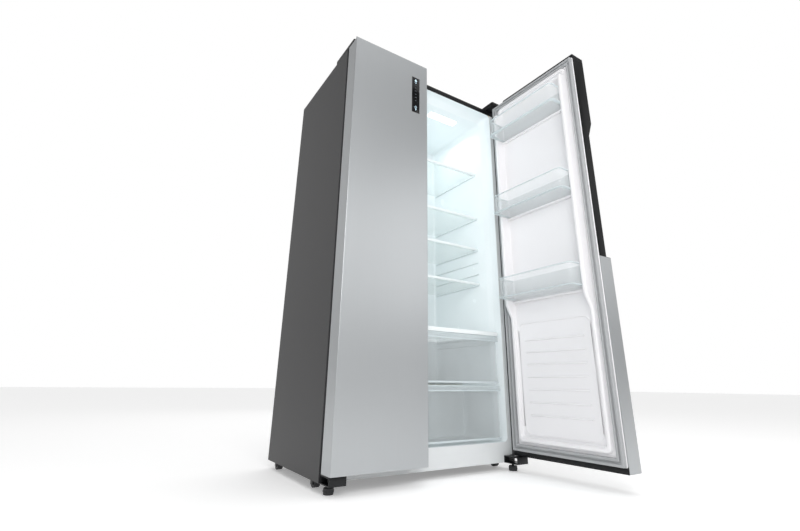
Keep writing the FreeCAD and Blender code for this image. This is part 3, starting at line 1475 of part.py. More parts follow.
def door(side):
    """One door: skin, caps, handle, foam, liner and gasket."""
    width = DOOR_WIDTH[side]
    blank, space = door_handle(side)
    notch = top_notch(side)
    holes = door_pin_holes(side)
    top_cap, low_cap = end_caps(side)

    cuts = [notch, blank]
    if side == FRIDGE:
        cuts += space[:1] + space[2:]
        trimmed = door_box(
            side,
            "skin_trim_cut",
            (f"{width} - handle_trim", f"{width} + 1"),
            ("skin_radius + 1", "skin_back + 1"),
            ("recess_low - handle_wall", "door_top + 1"),
        )
        cuts.append(trimmed)
    else:
        window = door_box(
            side,
            "display_window",
            ("display_left", "display_right"),
            ("0", "display_thickness"),
            ("display_low", "display_top"),
        )
        cuts.append(window)
        node(hang(group("display_panel", window), side), "display_panel")
    skin = cut(side + "_door_skin", skin_blank(side), *cuts)
    node(hang(skin, side), side + "_door_skin")

    core = door_ridge(side, "core", "liner_wall", "liner_back")
    block = door_box(
        side,
        "foam_block",
        ("steel", f"{width} - steel"),
        ("steel", "liner_back"),
        ("cap_foot_top + cap_web", "cap_base - cap_web"),
    )
    away = [hem_space(side), blank, top_cap, low_cap]
    if side == FREEZER:
        away.append(window)
    filled = fuse(side + "_foam_filled", block, core)
    node(hang(cut(side + "_door_foam", filled, *away), side), side + "_door_foam")

    if side == FRIDGE:
        end = door_box(
            side,
            "cap_trim_cut",
            (f"{width} - handle_trim", f"{width} + 1"),
            ("steel", "skin_back"),
            ("recess_low - handle_wall", "cap_base"),
        )
        top_cap = cut("fridge_top_cap_trimmed", top_cap, end)
    top = cut(side + "_top_cap", top_cap, holes[0])
    low = cut(side + "_low_cap", low_cap, holes[1])
    node(hang(group(side + "_door_end_caps", top, low), side), side + "_door_end_caps")

    panel = door_box(
        side,
        "liner_panel",
        ("door_liner_margin", f"{width} - door_liner_margin"),
        ("liner_back", "door_thickness"),
        ("cap_foot_top", "cap_base"),
    )
    ridge = door_ridge(side, "ridge", "0", "door_thickness")
    liner = cut(side + "_door_liner", fuse(side + "_liner_blank", panel, ridge), core)
    node(hang(liner, side), side + "_door_liner")
    door_gasket(side)


def hem_space(side):
    """The hems that the foam flows round."""
    width = DOOR_WIDTH[side]
    hems = []
    for word, near, far in (
        ("hinge", "steel", "skin_hem"),
        ("free", f"{width} - skin_hem", f"{width} - steel"),
    ):
        deep = ("skin_back - steel", "liner_back")
        high = ("door_bottom", "door_top")
        hems.append(door_box(side, f"hem_space_{word}", (near, far), deep, high))
    return fuse(side + "_hem_space", *hems)


def baskets():
    for number in (1, 2, 3):
        name = f"fridge_door_basket_{number}"
        node(hang(door_basket(FRIDGE, number, f"basket_{number}"), FRIDGE), name)
    bins = []
    for number in range(4):
        bottom = f"basket_1 + {number} * freezer_basket_pitch"
        bins.append(door_basket(FREEZER, number + 1, bottom))
    node(hang(group("freezer_door_baskets", *bins), FREEZER), "freezer_door_baskets")


# ---------------------------------------------------------------- assembly


def check_and_export():
    """Stop on any failed feature or bad solid, then write one file for each sub-part."""
    DOC.recompute()
    failed = [o.Name for o in DOC.Objects if "Invalid" in o.State or "Error" in o.State]
    if failed:
        raise RuntimeError("failed features: " + ", ".join(failed))
    for piece in NODES:
        if piece.Shape.isNull() or not piece.Shape.isValid() or not piece.Shape.Solids:
            raise RuntimeError("bad solid: " + piece.Label)
    os.makedirs("parts", exist_ok=True)
    for piece in NODES:
        piece.Shape.exportStep(os.path.join("parts", piece.Label + ".step"))


def main():
    fill_sheet()

    screws = cabinet_screws()
    side_panel(-1, "side_panel_left", screws)
    side_panel(1, "side_panel_right", screws)
    top_panel(screws)
    back_panel()
    base_frame()
    front_frame()
    outers = liners()
    insulation(outers, screws)
    fridge_glass, fridge_trims = shelves(FRIDGE, "shelf_back")
    for i, pane in enumerate(fridge_glass, start=1):
        node(pane, f"fridge_shelf_{i}")
    freezer_glass, freezer_trims = shelves(FREEZER, "freezer_back - 15")
    node(group("freezer_shelves", *freezer_glass), "freezer_shelves")
    node(group("shelf_trims", *fridge_trims, *freezer_trims), "shelf_trims")
    crisper_cover()
    lamps()
    fridge_duct()
    evaporator_cover()
    machinery(screws)
    top_hinges(screws)
    lower_hinges()
    feet()
    rollers("rear", "rear_roller_y", "roller_radius", "roller_radius")
    rollers("front", "front_roller_y", "front_roller_z", "front_roller_radius")

    upper_back = "shelf_back - drawer_rear_gap"
    lower_back = "step_front - drawer_rear_gap"
    freezer_back = "freezer_back - drawer_rear_gap"
    drawer("crisper_lower", FRIDGE, "lower_drawer_bottom", "lower_drawer_top", lower_back)
    drawer("crisper_upper", FRIDGE, "upper_drawer_bottom", "upper_drawer_top", upper_back)
    drawer("freezer_drawer_lower", FREEZER, "lower_drawer_bottom", "lower_drawer_top", lower_back)
    drawer("freezer_drawer_upper", FREEZER, "upper_drawer_bottom", "upper_drawer_top", freezer_back)

    door(FRIDGE)
    door(FREEZER)
    baskets()
    check_and_export()


main()
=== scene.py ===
"""Looks of a side by side refrigerator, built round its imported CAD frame."""

import json
import math

import bmesh
import bpy
from bpy.props import FloatProperty, IntProperty, PointerProperty, StringProperty
from mathutils import Matrix, Vector


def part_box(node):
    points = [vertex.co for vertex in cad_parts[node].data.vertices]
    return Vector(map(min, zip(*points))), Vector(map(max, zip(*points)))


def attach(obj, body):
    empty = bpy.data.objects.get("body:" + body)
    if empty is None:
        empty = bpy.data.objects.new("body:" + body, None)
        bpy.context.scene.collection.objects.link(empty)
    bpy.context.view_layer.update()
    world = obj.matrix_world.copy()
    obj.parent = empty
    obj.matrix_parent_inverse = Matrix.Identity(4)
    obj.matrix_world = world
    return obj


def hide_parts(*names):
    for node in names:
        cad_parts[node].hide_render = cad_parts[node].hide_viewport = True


bl_info = {
    "name": "Side by side refrigerator",
    "version": (1, 0, 0),
    "blender": (4, 5, 0),
    "location": "View3D > Sidebar > Refrigerator",
    "description": "Builds the visible pieces and finishes of a side by side refrigerator",
    "category": "Add Mesh",
}

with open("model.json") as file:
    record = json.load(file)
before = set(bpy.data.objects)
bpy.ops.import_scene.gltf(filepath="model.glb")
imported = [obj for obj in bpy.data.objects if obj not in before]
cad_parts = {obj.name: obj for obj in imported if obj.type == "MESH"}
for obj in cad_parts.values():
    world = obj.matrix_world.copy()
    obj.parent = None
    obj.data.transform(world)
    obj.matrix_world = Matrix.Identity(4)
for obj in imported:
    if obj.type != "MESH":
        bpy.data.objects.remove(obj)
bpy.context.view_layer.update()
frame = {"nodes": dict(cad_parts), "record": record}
SHEET = 0.002  # thickness of the formed plastic sheets, in metres like every length here
RAIL_REACH = 0.008
RAIL_HEIGHT = 0.006
ARC_STEPS = 6
WELD = 0.00001
FRIDGE = "fridge"
FREEZER = "freezer"
JOINTS = {joint["name"]: joint for joint in frame["record"]["behaviour"]["joints"]}


# ---------------------------------------------------------------- settings


def length(name, default, description):
    """A size in metres that the sidebar shows as a distance."""
    return FloatProperty(
        name=name, default=default, description=description, unit="LENGTH", subtype="DISTANCE", precision=4
    )


def angle(name, degrees, description):
    """A turn that the sidebar shows in degrees."""
    return FloatProperty(name=name, default=math.radians(degrees), description=description, subtype="ANGLE")


def colour(name, default, description):
    """An sRGB colour, as six hexadecimal digits."""
    return StringProperty(name=name, default=default, description=description)


class FridgeShapeSettings(bpy.types.PropertyGroup):
    """Sizes of the moulded and folded details."""

    edge: length("Edge rounding", 0.0008, "Radius of ordinary sheet and plastic edges")
    ridge_inset: length("Ridge inset", 0.041, "Edge of a door's inner panel to its ridge")
    ridge_width: length("Ridge width", 0.020, "Thickness of the ridge round a door's inner panel")
    ridge_height: length("Ridge height", 0.047, "Height of the ridge beside the door bins")
    ridge_low: length("Low ridge height", 0.015, "Height of the ridge beside the drawers")
    ridge_bottom: length("Ridge start", 0.057, "Door's lower edge to the ridge")
    ridge_top: length("Ridge end", 0.047, "Door's upper edge to the ridge")
    ridge_radius: length("Ridge corner", 0.022, "Corner radius of the ridge's outline")
    slope_low: length("Ramp start", 0.546, "Door's lower edge to the foot of the ridge's ramp")
    slope_high: length("Ramp end", 0.629, "Door's lower edge to the top of the ridge's ramp")
    ridge_drop: length("Tall ridge end", 0.040, "Top of the low ridge to the upper end of the tall one")
    end_ramp: length("End ramp", 0.016, "Height over which the tall ridge runs out at its upper end")
    cavity_radius: length("Cavity corner", 0.022, "Upright and level corners inside the cabinet")
    throat: length("Throat depth", 0.034, "Straight part behind an opening")
    flare: length("Flare depth", 0.035, "Depth over which the side walls close in")
    flare_side: length("Flare", 0.015, "How far each side wall closes in")
    ceiling_drop: length("Ceiling drop", 0.025, "How far the ceiling lies below the opening")
    step_front: length("Step front", 0.267, "Front of the machine step behind the cabinet's front")
    step_top: length("Step top", 0.229, "Machine step above the cavity floor")
    rib_pitch: length("Rib pitch", 0.050, "Spacing of the ribs on a door's lower panel")
    rib_count: IntProperty(name="Ribs", default=7, description="Ribs on a door's lower panel")
    lip_rib_pitch: length("Lip rib pitch", 0.0035, "Spacing of the fine ribs on a drawer's grip")


class FridgeColourSettings(bpy.types.PropertyGroup):
    """Colours of the finishes."""

    silver: colour("Door steel", "B4B7B9", "Film-coated door skins")
    graphite: colour("Cabinet steel", "3A3A3B", "Textured paint on the cabinet")
    zinc: colour("Rear sheet", "9A9D9F", "Zinc-coated sheet at the rear")
    liner: colour("Liner", "EEF5F7", "Vacuum-formed liners")
    # painted light: the liner's white toned warmer and a little darker for the door panels, which lie
    # outside the cold lamp light
    panel: colour("Door panel", "ECEBED", "Inner panels of the doors")
    black: colour("Black plastic", "111214", "Moulded trims and covers")
    seal: colour("Seal", "A6A8AA", "Gasket lips")
    # painted shade: a near-black tone for the bottom of the gasket's groove, where shade falls
    groove: colour("Seal groove", "17181A", "Bottom of the gasket's groove")
    clear: colour("Clear plastic", "EDF4F6", "Bins and drawers")
    milky: colour("Milky plastic", "E3EDF0", "Sills and grips of the bins and drawers")
    glass: colour("Shelf glass", "E6F3EE", "Tempered shelves")


class FridgeStageSettings(bpy.types.PropertyGroup):
    """Camera, lights and floor."""

    camera_x: length("Camera X", -1.0870, "Camera to the left of the middle")
    camera_y: length("Camera Y", -1.4187, "Camera in front of the doors")
    camera_z: length("Camera height", 0.3383, "Camera above the floor")
    yaw: angle("Yaw", 33.01, "Turn to the right")
    pitch: angle("Pitch", 19.06, "Tilt upwards")
    roll: angle("Roll", 0.60, "Turn about the view")
    lens: FloatProperty(name="Lens", default=19.785, description="Focal length in mm on a 36 mm sensor")
    shift_x: FloatProperty(name="Shift X", default=-0.0110, description="Sideways lens shift")
    shift_y: FloatProperty(name="Shift Y", default=-0.0414, description="Upright lens shift")
    floor: colour("Floor", "F7F7F7", "Floor and backdrop")


def colours():
    return bpy.context.scene.fridge_colours


# ---------------------------------------------------------------- nodes and materials


def add(tree, kind, inputs=None, **settings):
    """Add a node to a tree, with its settings, socket values and incoming links."""
    made = tree.nodes.new(kind)
    for name, value in settings.items():
        setattr(made, name, value)
    for key, value in (inputs or {}).items():
        if isinstance(value, bpy.types.NodeSocket):
            tree.links.new(value, made.inputs[key])
        else:
            made.inputs[key].default_value = value
    return made


def linear(code, alpha=1.0):
    """Turn an sRGB hex colour to linear light."""
    levels = [int(code[i : i + 2], 16) / 255 for i in (0, 2, 4)]
    return tuple(c / 12.92 if c <= 0.04045 else ((c + 0.055) / 1.055) ** 2.4 for c in levels) + (alpha,)


def new_surface(name, plain=None):
    """A Principled material; plain gives the sockets that hold one value all over."""
    surface = bpy.data.materials.new(name)
    surface.use_nodes = True
    tree = surface.node_tree
    tree.nodes.clear()
    shader = add(tree, "ShaderNodeBsdfPrincipled", plain)
    add(tree, "ShaderNodeOutputMaterial", {"Surface": shader.outputs[0]})
    return surface, tree, shader


def grain(tree, scale, detail):
    """Noise on object coordinates; scale is in cycles per metre along each axis."""
    place = add(tree, "ShaderNodeTexCoord")
    fit = add(tree, "ShaderNodeMapping", {"Vector": place.outputs["Object"], "Scale": scale})
    values = {"Vector": fit.outputs[0], "Scale": 1.0, "Detail": detail, "Roughness": 0.55}
    return add(tree, "ShaderNodeTexNoise", values)


def cells(tree, scale):
    """Round cells on object coordinates, in cells per metre."""
    place = add(tree, "ShaderNodeTexCoord")
    return add(tree, "ShaderNodeTexVoronoi", {"Vector": place.outputs["Object"], "Scale": scale})


def vary(tree, shader, noise, code, spread, rough):
    """Let a noise shift the colour by a spread and the roughness between two values."""
    base = linear(code)[:3]
    light = tuple(min(1.0, c * (1 + spread)) for c in base) + (1.0,)
    dark = tuple(c * (1 - spread) for c in base) + (1.0,)
    mix = add(tree, "ShaderNodeMix", {0: noise.outputs[0], 6: dark, 7: light}, data_type="RGBA")
    tree.links.new(mix.outputs[2], shader.inputs["Base Color"])
    span = add(tree, "ShaderNodeMapRange", {0: noise.outputs[0], 3: rough[0], 4: rough[1]})
    tree.links.new(span.outputs[0], shader.inputs["Roughness"])


def bump(tree, shader, noise, depth):
    """Raise the surface by a real depth in metres."""
    raised = add(tree, "ShaderNodeBump", {"Height": noise.outputs[0], "Distance": depth, "Strength": 1.0})
    tree.links.new(raised.outputs[0], shader.inputs["Normal"])


def grained(name, code, spread, rough, scale, detail=3.0, depth=0.0, plain=None):
    """A finish whose colour, roughness and relief follow one noise.

    scale is in cycles per metre, for all axes or one for each; depth is the relief in metres.
    """
    surface, tree, shader = new_surface(name, plain)
    noise = grain(tree, scale if isinstance(scale, tuple) else (scale,) * 3, detail)
    vary(tree, shader, noise, code, spread, rough)
    if depth:
        bump(tree, shader, noise, depth)
    return surface


def film_coated_steel():
    # Pre-coated door steel: a clear film over a vertical brushed grain, soft and even in reflection.
    # Real grain is about 0.2 mm wide; drawn 1.5 mm wide and 250 mm long so that it shows at all.
    film = {"Metallic": 0.72, "Anisotropic": 0.3, "Coat Weight": 0.15, "Coat Roughness": 0.25}
    brushed = (660.0, 660.0, 4.0)
    return grained(
        "film_coated_brushed_steel", colours().silver, 0.035, (0.30, 0.40), brushed, 4.0, 0.00003, film
    )


def textured_paint():
    # Polyester powder paint on cabinet steel: fine orange peel, a broad dull sheen.
    flakes = {"Metallic": 0.15}
    return grained(
        "textured_graphite_paint", colours().graphite, 0.07, (0.42, 0.55), 420.0, 4.0, 0.00012, flakes
    )


def zinc_sheet():
    # Hot-dip zinc-coated sheet: pale spangles of about 12 mm under a dull sheen.
    surface, tree, shader = new_surface("zinc_coated_sheet", {"Metallic": 0.85})
    tone = add(tree, "ShaderNodeSeparateColor", {0: cells(tree, 85.0).outputs["Color"]})
    vary(tree, shader, tone, colours().zinc, 0.10, (0.32, 0.5))
    return surface


def satin_steel_paint():
    # Black electro-dipped steel: thin, even, slightly glossy paint on brackets and the base.
    paint = {"Metallic": 0.3}
    return grained("black_dipped_steel", "151618", 0.2, (0.32, 0.45), 260.0, 3.0, 0.00004, paint)


def pale_steel_paint():
    # Light grey baked enamel on the frame round the openings: smooth with a soft gloss.
    return grained("light_grey_baked_enamel", "DDE0E1", 0.02, (0.30, 0.38), 180.0, 3.0, 0.00004)


def moulded(name, code, rough, pitch, depth, spread, detail=3.0, specular=0.5):
    """An injection or vacuum moulded plastic; pitch is the grain of the mould in metres."""
    plain = {"IOR": 1.54, "Specular IOR Level": specular}
    return grained(name, code, spread, rough, 1 / pitch, detail, depth, plain)


def liner_polystyrene():
    # Vacuum-formed high-impact polystyrene: glossy white sheet with slow waves from forming.
    return moulded("formed_polystyrene_liner", colours().liner, (0.25, 0.28), 0.09, 0.00001, 0.004, 0.0)


def door_polystyrene_painted_tone():
    # The same sheet over the door's mould, toned a little warmer and darker than the liner as painted
    # light, for lying beside the cabinet lamps' cold light.
    name = "door_panel_polystyrene_painted_light_tone"
    return moulded(name, colours().panel, (0.30, 0.32), 0.09, 0.00001, 0.004, 0.0)


def white_abs():
    # Injection-moulded white ABS: crisp edges and a finer, flatter grain than the formed sheet.
    return moulded("moulded_white_abs", "F1F6F7", (0.28, 0.36), 0.0015, 0.00003, 0.015)


def black_abs():
    # Moulded black ABS with a light spark-eroded grain: dull with soft highlights.
    return moulded("moulded_black_abs", colours().black, (0.34, 0.46), 0.0012, 0.00006, 0.2, specular=0.25)


def satin_black_abs():
    # Fine-grained black ABS of the side trim and recess: deep black with a soft sheen.
    return moulded("satin_black_abs", "0B0C0E", (0.34, 0.42), 0.0012, 0.00004, 0.1, specular=0.15)


def grey_nylon():
    # Moulded grey nylon on feet and rollers: waxy and slightly mottled.
    return moulded("moulded_grey_nylon", "2A2B2D", (0.42, 0.55), 0.004, 0.00008, 0.15)


def seal_rubber():
    # Extruded soft vinyl seal: matt, faintly dusty lips.
    return moulded("extruded_vinyl_seal", colours().seal, (0.5, 0.62), 0.006, 0.00005, 0.05)


def painted_groove_shade():
    # The same vinyl deep in its groove, coloured near black as painted shade for the shadow in the groove.
    return moulded("vinyl_with_painted_groove_shade", colours().groove, (0.55, 0.65), 0.006, 0.00005, 0.1)


def black_rubber():
    # Moulded nitrile rubber of mounts and gland: dead matt.
    return moulded("moulded_nitrile_rubber", "17181A", (0.62, 0.75), 0.003, 0.00008, 0.2)


def clear_resin(name, code, rough, cover):
    """A see-through moulded resin; cover is how much of what lies behind it is hidden."""
    return grained(name, code, 0.02, rough, 30.0, 3.0, 0.0001, {"IOR": 1.57, "Alpha": cover})


def clear_san():
    # Clear styrene-acrylonitrile bins: water clear walls with slow flow waves.
    return clear_resin("clear_styrene_acrylonitrile", colours().clear, (0.04, 0.08), 0.16)


def milky_san():
    # Frosted styrene-acrylonitrile on sills and grips: light comes through as an even glow.
    return clear_resin("frosted_styrene_acrylonitrile", colours().milky, (0.35, 0.5), 0.7)


def tempered_glass():
    # Tempered soda-lime shelf glass: clear with a slight green tint.
    clear = {"IOR": 1.52, "Alpha": 0.16}
    return grained("tempered_shelf_glass", colours().glass, 0.01, (0.01, 0.03), 12.0, 2.0, plain=clear)


def display_glass():
    # Back-painted black glass: a smooth dark mirror.
    dark = {"IOR": 1.52, "Specular IOR Level": 0.25}
    return grained("back_painted_black_glass", "050608", 0.2, (0.06, 0.10), 25.0, 2.0, plain=dark)


def lit_mark():
    # Screened windows in the glass with diodes behind: small, cool white glow.
    glow = {"Emission Color": linear("BFE0F2"), "Emission Strength": 1.3}
    return grained("lit_screened_window", "C8DCE6", 0.1, (0.3, 0.4), 900.0, 1.0, plain=glow)


def dim_mark():
    # Screened windows with no light behind them: dull grey.
    return grained("screened_window", "6E757A", 0.1, (0.3, 0.4), 900.0, 1.0)


def lamp_diffuser():
    # Opal polycarbonate over white diodes: bright, even, cool light.
    glow = {"Emission Color": linear("F4FAFF"), "Emission Strength": 1.6}
    return grained("opal_lamp_diffuser", "FFFFFF", 0.01, (0.4, 0.5), 40.0, 2.0, plain=glow)


def bright_steel():
    # Zinc-plated screws and pins: bright, with a faint mottling.
    return grained("zinc_plated_screw_steel", "B9BCC0", 0.08, (0.2, 0.32), 600.0, plain={"Metallic": 1.0})


def heat_exchanger_aluminium():
    # Rolled aluminium fins: bright, lightly streaked along the rolling direction.
    streaks = (900.0, 60.0, 60.0)
    return grained("rolled_fin_aluminium", "C4C7CA", 0.06, (0.28, 0.4), streaks, plain={"Metallic": 1.0})


def insulation_foam():
    # Rigid polyurethane foam: matt, yellowish, with small closed cells.
    surface, tree, shader = new_surface("rigid_polyurethane_foam")
    pores = cells(tree, 700.0)
    vary(tree, shader, pores, "D9C48F", 0.08, (0.8, 0.95))
    bump(tree, shader, pores, 0.0002)
    return surface


MAKERS = {}


def finish_of(maker):
    """The material that a maker gives, made once."""
    if maker not in MAKERS:
        MAKERS[maker] = maker()
    return MAKERS[maker]


def coat(obj, *makers):
    """Give an object its materials, in place of what the frame came with."""
    obj.data.materials.clear()
    for maker in makers:
        obj.data.materials.append(finish_of(maker))


def coat_nodes(maker, *names):
    """Give CAD nodes a finish through their object slots."""
    for name in names:
        for slot in frame["nodes"][name].material_slots:
            slot.link = "OBJECT"
            slot.material = finish_of(maker)


# ---------------------------------------------------------------- meshes


def body_name(node):
    """The CAD body that a node belongs to."""
    bodies = frame["record"]["behaviour"]["bodies"]
    return next(body for body, nodes in bodies.items() if node in nodes)


def settle(obj, node, replaces=False):
    """Tie a finished piece to the body and the finish of a CAD node."""
    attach(obj, body_name(node))
    if replaces:
        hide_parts(node)
    return obj


def object_of(name, mesh):
    """Turn a bmesh into an object of the scene."""
    data = bpy.data.meshes.new(name)
    mesh.to_mesh(data)
    mesh.free()
    obj = bpy.data.objects.new(name, data)
    bpy.context.scene.collection.objects.link(obj)
    return obj


def smooth(obj, angle=30.0):
    """Shade smooth between edges that turn less than an angle."""
    mesh = bmesh.new()
    mesh.from_mesh(obj.data)
    for face in mesh.faces:
        face.smooth = True
    for edge in mesh.edges:
        edge.smooth = len(edge.link_faces) == 2 and edge.calc_face_angle(0.0) < math.radians(angle)
    mesh.to_mesh(obj.data)
    mesh.free()
    return obj


def make_piece(name, mesh, node, *makers, angle=30.0, replaces=False):
    """Turn a bmesh into a finished piece that rides with a CAD node."""
    obj = object_of(name, mesh)
    coat(obj, *makers)
    return settle(smooth(obj, angle), node, replaces)


def cad_mesh(node):
    """A bmesh copy of a CAD node, with its faces joined."""
    mesh = bmesh.new()
    mesh.from_mesh(frame["nodes"][node].data)
    bmesh.ops.remove_doubles(mesh, verts=mesh.verts, dist=WELD)
    return mesh


def soften(node, width, maker, segments=2):
    """A copy of a CAD node with its sharp edges rounded, which stands for the node."""
    mesh = cad_mesh(node)
    flat, limit = math.radians(0.3), math.radians(35)
    bmesh.ops.dissolve_limit(
        mesh, angle_limit=flat, verts=mesh.verts, edges=mesh.edges, use_dissolve_boundaries=False
    )
    sharp = [edge for edge in mesh.edges if len(edge.link_faces) == 2 and edge.calc_face_angle(0.0) > limit]
    bmesh.ops.bevel(
        mesh, geom=sharp, offset=width, segments=segments, profile=0.5, affect="EDGES", clamp_overlap=True
    )
    return make_piece(node + "_look", mesh, node, maker, angle=40.0, replaces=True)


def arc(centre, radius, start, sweep=math.pi / 2, steps=ARC_STEPS):
    """Points (u, v) along an arc, both ends included."""
    turns = [start + sweep * i / steps for i in range(steps + 1)]
    return [(centre[0] + radius * math.cos(turn), centre[1] + radius * math.sin(turn)) for turn in turns]


def circle(radius, steps):
    """Points (u, v) round the origin."""
    return arc((0.0, 0.0), radius, 0.0, 2 * math.pi, steps)[:-1]


def rounded_ring(low, high, radius, steps=ARC_STEPS, cuts=()):
    """Points (u, v) of a rounded rectangle, with extra points at given heights on both sides."""
    (u0, v0), (u1, v1) = low, high
    corners = (
        ((u1 - radius, v0 + radius), -math.pi / 2),
        ((u1 - radius, v1 - radius), 0.0),
        ((u0 + radius, v1 - radius), math.pi / 2),
        ((u0 + radius, v0 + radius), math.pi),
    )
    quarters = [arc(centre, radius, start, steps=steps) for centre, start in corners]
    right = [(u1, cut) for cut in cuts]
    left = [(u0, cut) for cut in reversed(cuts)]
    return quarters[0] + right + quarters[1] + quarters[2] + left + quarters[3]


def loft(rings, close_start=True, close_end=True):
    """A closed skin through rings of points, each ring a list of (x, y, z)."""
    mesh = bmesh.new()
    layers = [[mesh.verts.new(point) for point in ring] for ring in rings]
    count = len(layers[0])
    for near, far in zip(layers, layers[1:]):
        for i in range(count):
            mesh.faces.new((near[i], near[(i + 1) % count], far[(i + 1) % count], far[i]))
    if close_start:
        mesh.faces.new(list(reversed(layers[0])))
    if close_end:
        mesh.faces.new(layers[-1])
    bmesh.ops.recalc_face_normals(mesh, faces=mesh.faces)
    return mesh


def rounded_bar(mesh, low, high, radius, segments=2):
    """Add a block with rounded edges to a mesh."""
    made = bmesh.ops.create_cube(mesh, size=1.0)["verts"]
    size = [b - a for a, b in zip(low, high)]
    middle = [(a + b) / 2 for a, b in zip(low, high)]
    bmesh.ops.scale(mesh, vec=size, verts=made)
    bmesh.ops.translate(mesh, vec=middle, verts=made)
    edges = list({edge for vert in made for edge in vert.link_edges})
    bmesh.ops.bevel(
        mesh, geom=edges, offset=radius, segments=segments, profile=0.5, affect="EDGES", clamp_overlap=True
    )


# ---------------------------------------------------------------- a door's own space


def hinge_of(side):
    return Vector(JOINTS[side + "_door_hinge"]["pos_m"])


def door_turn(side):
    """How far a door stands open at rest, about +Z."""
    if side == FREEZER:
        return 0.0
    return -math.radians(JOINTS["fridge_door_hinge"]["range_deg"][0])


def half_cabinet():
    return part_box("side_panel_right")[1][0]


def door_matrix(side):
    """From a door's own space to the row frame.

    In a door's space u runs from the hinge edge to the free edge, v from the front face
    towards the cabinet, and w upwards.
    """
    hinge = hinge_of(side)
    inset = half_cabinet() - abs(hinge.x)
    sign = 1.0 if side == FREEZER else -1.0
    place = Matrix(((sign, 0, 0, -sign * inset), (0, 1, 0, -hinge.y), (0, 0, 1, 0), (0, 0, 0, 1)))
    lift = Matrix.Translation((hinge.x, hinge.y, 0))
    return lift @ Matrix.Rotation(door_turn(side), 4, "Z") @ place


def door_box(side, node):
    """Lowest and highest corners of a CAD node in its door's space."""
    back = door_matrix(side).inverted()
    points = [back @ vert.co for vert in frame["nodes"][node].data.vertices]
    return (
        [min(point[i] for point in points) for i in range(3)],
        [max(point[i] for point in points) for i in range(3)],
    )


def hang(mesh, side):
    """Move a mesh from a door's space to the row frame, with its faces outwards."""
    bmesh.ops.transform(mesh, matrix=door_matrix(side), verts=mesh.verts)
    bmesh.ops.recalc_face_normals(mesh, faces=mesh.faces)
    return mesh


# ---------------------------------------------------------------- geometry nodes


def input_identifier(tree, name):
    return next(item.identifier for item in tree.interface.items_tree if item.name == name)


def new_geometry_tree(name, inputs):
    """A geometry node tree with named inputs; returns it with its group input node."""
    tree = bpy.data.node_groups.new(name, "GeometryNodeTree")
    tree.interface.new_socket("Geometry", in_out="INPUT", socket_type="NodeSocketGeometry")
    for title, kind in inputs:
        tree.interface.new_socket(title, in_out="INPUT", socket_type=kind)
    tree.interface.new_socket("Geometry", in_out="OUTPUT", socket_type="NodeSocketGeometry")
    return tree, add(tree, "NodeGroupInput")


SWEPT_INPUTS = (
    ("Width", "NodeSocketFloat"),
    ("Height", "NodeSocketFloat"),
    ("Radius", "NodeSocketFloat"),
    ("Material", "NodeSocketMaterial"),
)


def sweep(tree, given, path):
    """Sweep the given rounded rectangle along a path."""
    size = {"Width": given.outputs["Width"], "Height": given.outputs["Height"]}
    outline = add(tree, "GeometryNodeCurvePrimitiveQuadrilateral", size)
    corners = {"Curve": outline.outputs[0], "Radius": given.outputs["Radius"], "Count": 3}
    rounded = add(tree, "GeometryNodeFilletCurve", corners, mode="POLY")
    parts = {"Curve": path.outputs[0], "Profile Curve": rounded.outputs[0], "Fill Caps": True}
    return add(tree, "GeometryNodeCurveToMesh", parts)


def end_tree(tree, given, shape):
    """Make instances real, give everything its material and end the tree."""
    real = add(tree, "GeometryNodeRealizeInstances", {0: shape.outputs[0]})
    values = {"Geometry": real.outputs[0], "Material": given.outputs["Material"]}
    painted = add(tree, "GeometryNodeSetMaterial", values)
    add(tree, "NodeGroupOutput", {"Geometry": painted.outputs[0]})
    return tree


def bar_row_tree():
    """A straight row of equal rounded bars."""
    places = (
        ("Count", "NodeSocketInt"),
        ("First", "NodeSocketVector"),
        ("Step", "NodeSocketVector"),
        ("Run", "NodeSocketVector"),
    )
    tree, given = new_geometry_tree("row_of_rounded_bars", places + SWEPT_INPUTS)
    count, first, step, run = (given.outputs[title] for title, _ in places)
    line = {"Count": count, "Start Location": first, "Offset": step}
    row = add(tree, "GeometryNodeMeshLine", line, mode="OFFSET")
    axis = add(tree, "GeometryNodeCurvePrimitiveLine", {"Start": (0, 0, 0), "End": run})
    bar = sweep(tree, given, axis)
    parts = {"Points": row.outputs[0], "Instance": bar.outputs[0]}
    return end_tree(tree, given, add(tree, "GeometryNodeInstanceOnPoints", parts))


def band_tree():
    """A rounded band that follows the edges of a path."""
    tree, given = new_geometry_tree("band_along_a_path", SWEPT_INPUTS)
    path = add(tree, "GeometryNodeMeshToCurve", {"Mesh": given.outputs["Geometry"]})
    upright = add(tree, "GeometryNodeSetCurveNormal", {"Curve": path.outputs[0]}, mode="Z_UP")
    return end_tree(tree, given, sweep(tree, given, upright))


def scatter_tree():
    """One piece set on every point of a mesh, turned to the point's own direction."""
    inputs = (("Piece", "NodeSocketObject"), ("Material", "NodeSocketMaterial"))
    tree, given = new_geometry_tree("piece_on_every_point", inputs)
    piece = add(tree, "GeometryNodeObjectInfo", {"Object": given.outputs["Piece"]})
    aim = add(tree, "GeometryNodeInputNamedAttribute", {"Name": "direction"}, data_type="FLOAT_VECTOR")
    turn = add(tree, "FunctionNodeAlignRotationToVector", {"Vector": aim.outputs[0]}, axis="Z")
    parts = {
        "Points": given.outputs["Geometry"],
        "Instance": piece.outputs["Geometry"],
        "Rotation": turn.outputs[0],
    }
    return end_tree(tree, given, add(tree, "GeometryNodeInstanceOnPoints", parts))


TREES = {}


